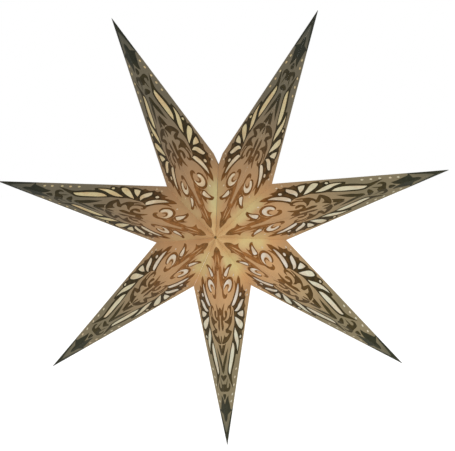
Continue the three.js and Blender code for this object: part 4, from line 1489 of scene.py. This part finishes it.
class LANTERN_OT_bulb(bpy.types.Operator):
    """Models the bulb's threaded cap, glass, stem and glowing filaments"""

    bl_idname = "lantern.bulb"
    bl_label = "Bulb"

    def execute(self, context):
        holder = context.scene.lantern_holder
        nickel = worked_metal("Plated bulb cap", srgb(214, 196, 152), srgb(160, 138, 92), 0.2)
        satin = bulb_envelope("Satin bulb glass", srgb(255, 247, 232))
        clear = clear_glass("Clear stem glass", srgb(246, 248, 248), srgb(236, 242, 242))
        black = moulded_plastic("Black glass insulator", srgb(26, 26, 28), 0.12)
        solder = worked_metal("Dull solder", srgb(192, 194, 196), srgb(150, 152, 156), 0.34)
        phosphor = glowing_phosphor("Glowing phosphor", srgb(255, 214, 120), srgb(255, 196, 96))
        strip = worked_metal("Filament end strip", srgb(196, 196, 198), srgb(160, 160, 162), 0.3)
        dress(self.cap(holder), nickel, "bulb", "brass", "bulb_cap")
        dress(self.glass(), satin, "bulb", "bulb_glass", "bulb_glass")
        dress(self.stem(), clear, "bulb", "stem_glass", "bulb_stem")
        dress(self.insulator(), black, "bulb", "insulator", "bulb_insulator")
        dress(self.bead(), solder, "bulb_tip", "solder", "bulb_contact")
        for number in range(1, FILAMENT_COUNT + 1):
            filament = self.filament(number)
            dress(filament, [phosphor, strip], "bulb", "filament", f"filament_{number}")
            self.mark_ends(filament)
        return {"FINISHED"}

    def cap(self, holder):
        """The cap, rolled to the thread over the middle of its height."""
        rings = np.linspace(*BULB_RINGS)
        middle = [(BULB_CAP_RADIUS, height) for height in rings]
        section = BULB_CAP_TOP + middle + BULB_CAP_FOOT
        cap = turned("bulb_cap_thread", section, steps=72, smooth=60)

        def thread(radius, turn, height):
            ends = between(height, **BULB_THREAD)
            rise = holder.thread_depth / MM * thread_wave(holder, turn, height) * ends
            return np.where(radius > BULB_CAP_WALL, radius + rise, radius)

        reshape(cap, thread)
        return cap

    def insulator(self):
        """The glass cone round the bulb's contact."""
        return turned("bulb_insulator_cone", rounded(INSULATOR, INSULATOR_ROUNDING))

    def bead(self):
        """The bead of solder on the bulb's end."""
        arc = [
            (SOLDER_RADIUS * math.sin(angle), SOLDER_EDGE + SOLDER_RISE * math.cos(angle))
            for angle in np.linspace(0, math.pi / 2, BEAD_POINTS)
        ]
        foot = [(SOLDER_RADIUS, SOLDER_FOOT), (0, SOLDER_FOOT)]
        return turned("bulb_contact_bead", arc + foot, steps=40)

    def glass(self):
        """The envelope: a neck inside the cap, a swept shoulder and a ball, with a wall."""
        section = self.envelope(0) + self.envelope(GLASS_WALL)[::-1]
        return turned("bulb_glass_envelope", section, steps=72, smooth=50)

    def envelope(self, inset):
        ball, neck, centre = GLASS_BALL - inset, GLASS_NECK - inset, GLASS_BALL_CENTRE
        way = Vector((math.sin(GLASS_SHOULDER), -math.cos(GLASS_SHOULDER)))
        angles = np.linspace(GLASS_SHOULDER, -math.pi / 2, BALL_POINTS)
        arc = [(ball * math.cos(angle), centre + ball * math.sin(angle)) for angle in angles]
        arc[-1] = (0, centre - ball)
        ends = Vector((neck, GLASS_NECK_FOOT)), Vector((0, -GLASS_SWEEP)), Vector(arc[0])
        steps = (step / SWEEP_POINTS for step in range(SWEEP_POINTS))
        sweep = [tuple(swept(step, *ends, way * GLASS_SWEEP)) for step in steps]
        return [(neck, GLASS_SEAL)] + sweep + arc

    def stem(self):
        """The stem: a flare sealed in the neck, a tapered rod and two beads for the filaments."""
        return turned("bulb_stem_glass", STEM, steps=48, smooth=50)

    def filament(self, number):
        """One glowing strip: a coated middle between two bare ends."""
        filament = turned(f"filament_{number}_strip", FILAMENT, steps=20)
        between_two = 2 * math.pi / FILAMENT_COUNT
        angle = between_two / 2 + (number - 1) * between_two
        ring = FILAMENT_RING * MM
        place = (ring * math.cos(angle), ring * math.sin(angle), 0)
        filament.data.transform(Matrix.Translation(place))
        return filament

    def mark_ends(self, filament):
        for polygon in filament.data.polygons:
            coated = COATED_FOOT <= polygon.center.z / MM <= COATED_TOP
            polygon.material_index = 0 if coated else 1


class LANTERN_OT_stage(bpy.types.Operator):
    """Sets the white floor, the soft lights and the camera"""

    bl_idname = "lantern.stage"
    bl_label = "Stage"

    def execute(self, context):
        scene = context.scene
        stage = scene.lantern_stage
        scene.view_settings.view_transform = "Standard"
        centre = star_centre(scene.lantern_paper)
        self.floor(stage)
        self.world(scene, stage)
        self.light("Key light", stage.key_watts, KEY_SIZE, KEY_PLACE, centre)
        self.light("Fill light", stage.fill_watts, FILL_SIZE, FILL_PLACE, centre)
        self.camera(scene, stage, centre)
        return {"FINISHED"}

    def floor(self, stage):
        select_nothing()
        bpy.ops.mesh.primitive_plane_add(
            size=FLOOR_SIZE, location=(0, FLOOR_BACK, stage.floor_height)
        )
        floor = bpy.context.object
        floor.name = "floor"

        def build(tree, place):
            seen = white_rays(tree)
            grain = cloudy(tree, place, 3)
            return {
                "Base Color": mix_colours(tree, grain, FLOOR_GREY, FLOOR_WHITE),
                "Roughness": 0.9,
                "Emission Color": (1, 1, 1, 1),
                "Emission Strength": times(tree, seen, FLOOR_GLOW),
            }

        floor.data.materials.append(shaded("White floor", build))

    def world(self, scene, stage):
        world = bpy.data.worlds.new("Studio")
        scene.world = world
        world.use_nodes = True
        tree = world.node_tree
        tree.nodes.clear()
        strength = calculate(tree, "MAXIMUM", white_rays(tree), stage.ambient)
        inputs = {"Color": (1, 1, 1, 1), "Strength": strength}
        shader = add_node(tree, "ShaderNodeBackground", inputs)
        add_node(tree, "ShaderNodeOutputWorld", {"Surface": shader.outputs[0]})

    def light(self, name, watts, size, way, target):
        """A soft square light that stands a way off from its target and shines on it."""
        place = target + Vector(way)
        data = bpy.data.lights.new(name, "AREA")
        data.energy, data.size = watts, size
        lamp = bpy.data.objects.new(name, data)
        bpy.context.scene.collection.objects.link(lamp)
        lamp.location = place
        lamp.rotation_euler = (target - place).to_track_quat("-Z", "Y").to_euler()

    def camera(self, scene, stage, centre):
        """Stands the camera in front of the star, turned and tipped as the picture shows it."""
        turns = ((stage.roll, "Y"), (stage.tilt, "X"), (stage.swing, "Z"))
        roll, tilt, swing = (Matrix.Rotation(angle, 3, axis) for angle, axis in turns)
        right, forward, up = (roll @ tilt @ swing).row
        data = bpy.data.cameras.new("Camera")
        data.lens, data.sensor_width = stage.lens, SENSOR_WIDTH
        data.shift_x, data.shift_y = stage.shift_across, stage.shift_up
        data.clip_start, data.clip_end = NEAREST_SEEN, FARTHEST_SEEN
        camera = bpy.data.objects.new("Camera", data)
        scene.collection.objects.link(camera)
        place = centre - forward * stage.distance
        camera.matrix_world = Matrix((
            (right.x, up.x, -forward.x, place.x),
            (right.y, up.y, -forward.y, place.y),
            (right.z, up.z, -forward.z, place.z),
            (0, 0, 0, 1),
        ))
        scene.camera = camera


def white_rays(tree):
    """1 for what is seen directly, mirrored or through glass, and 0 for light on the object."""
    rays = add_node(tree, "ShaderNodeLightPath").outputs
    seen = calculate(tree, "MAXIMUM", rays["Is Camera Ray"], rays["Is Glossy Ray"])
    return calculate(tree, "MAXIMUM", seen, rays["Is Transmission Ray"])


class LANTERN_PT_sidebar(bpy.types.Panel):
    """Lists the lantern's pieces"""

    bl_idname = "LANTERN_PT_sidebar"
    bl_label = "Paper star lantern"
    bl_space_type = "VIEW_3D"
    bl_region_type = "UI"
    bl_category = "Lantern"

    def draw(self, context):
        for operator in OPERATORS:
            self.layout.operator(operator.bl_idname)
        for group in GROUPS:
            box = self.layout.box()
            values = getattr(context.scene, group)
            for name in values.bl_rna.properties.keys():
                if name not in ("rna_type", "name"):
                    box.prop(values, name)


GROUPS = {
    "lantern_paper": LanternPaper,
    "lantern_colours": LanternColours,
    "lantern_holder": LanternHolder,
    "lantern_stage": LanternStage,
}
OPERATORS = [
    LANTERN_OT_printed_paper,
    LANTERN_OT_window_tissue,
    LANTERN_OT_closing_tabs,
    LANTERN_OT_lampholder,
    LANTERN_OT_bulb,
    LANTERN_OT_stage,
]
CLASSES = [*GROUPS.values(), *OPERATORS, LANTERN_PT_sidebar]


def register():
    for cls in CLASSES:
        bpy.utils.register_class(cls)
    for name, group in GROUPS.items():
        setattr(bpy.types.Scene, name, bpy.props.PointerProperty(type=group))


def unregister():
    for name in GROUPS:
        delattr(bpy.types.Scene, name)
    for cls in reversed(CLASSES):
        bpy.utils.unregister_class(cls)


def main():
    register()
    bpy.ops.lantern.printed_paper()
    bpy.ops.lantern.window_tissue()
    bpy.ops.lantern.closing_tabs()
    bpy.ops.lantern.lampholder()
    bpy.ops.lantern.bulb()
    bpy.ops.lantern.stage()


if __name__ == "__main__":
    main()
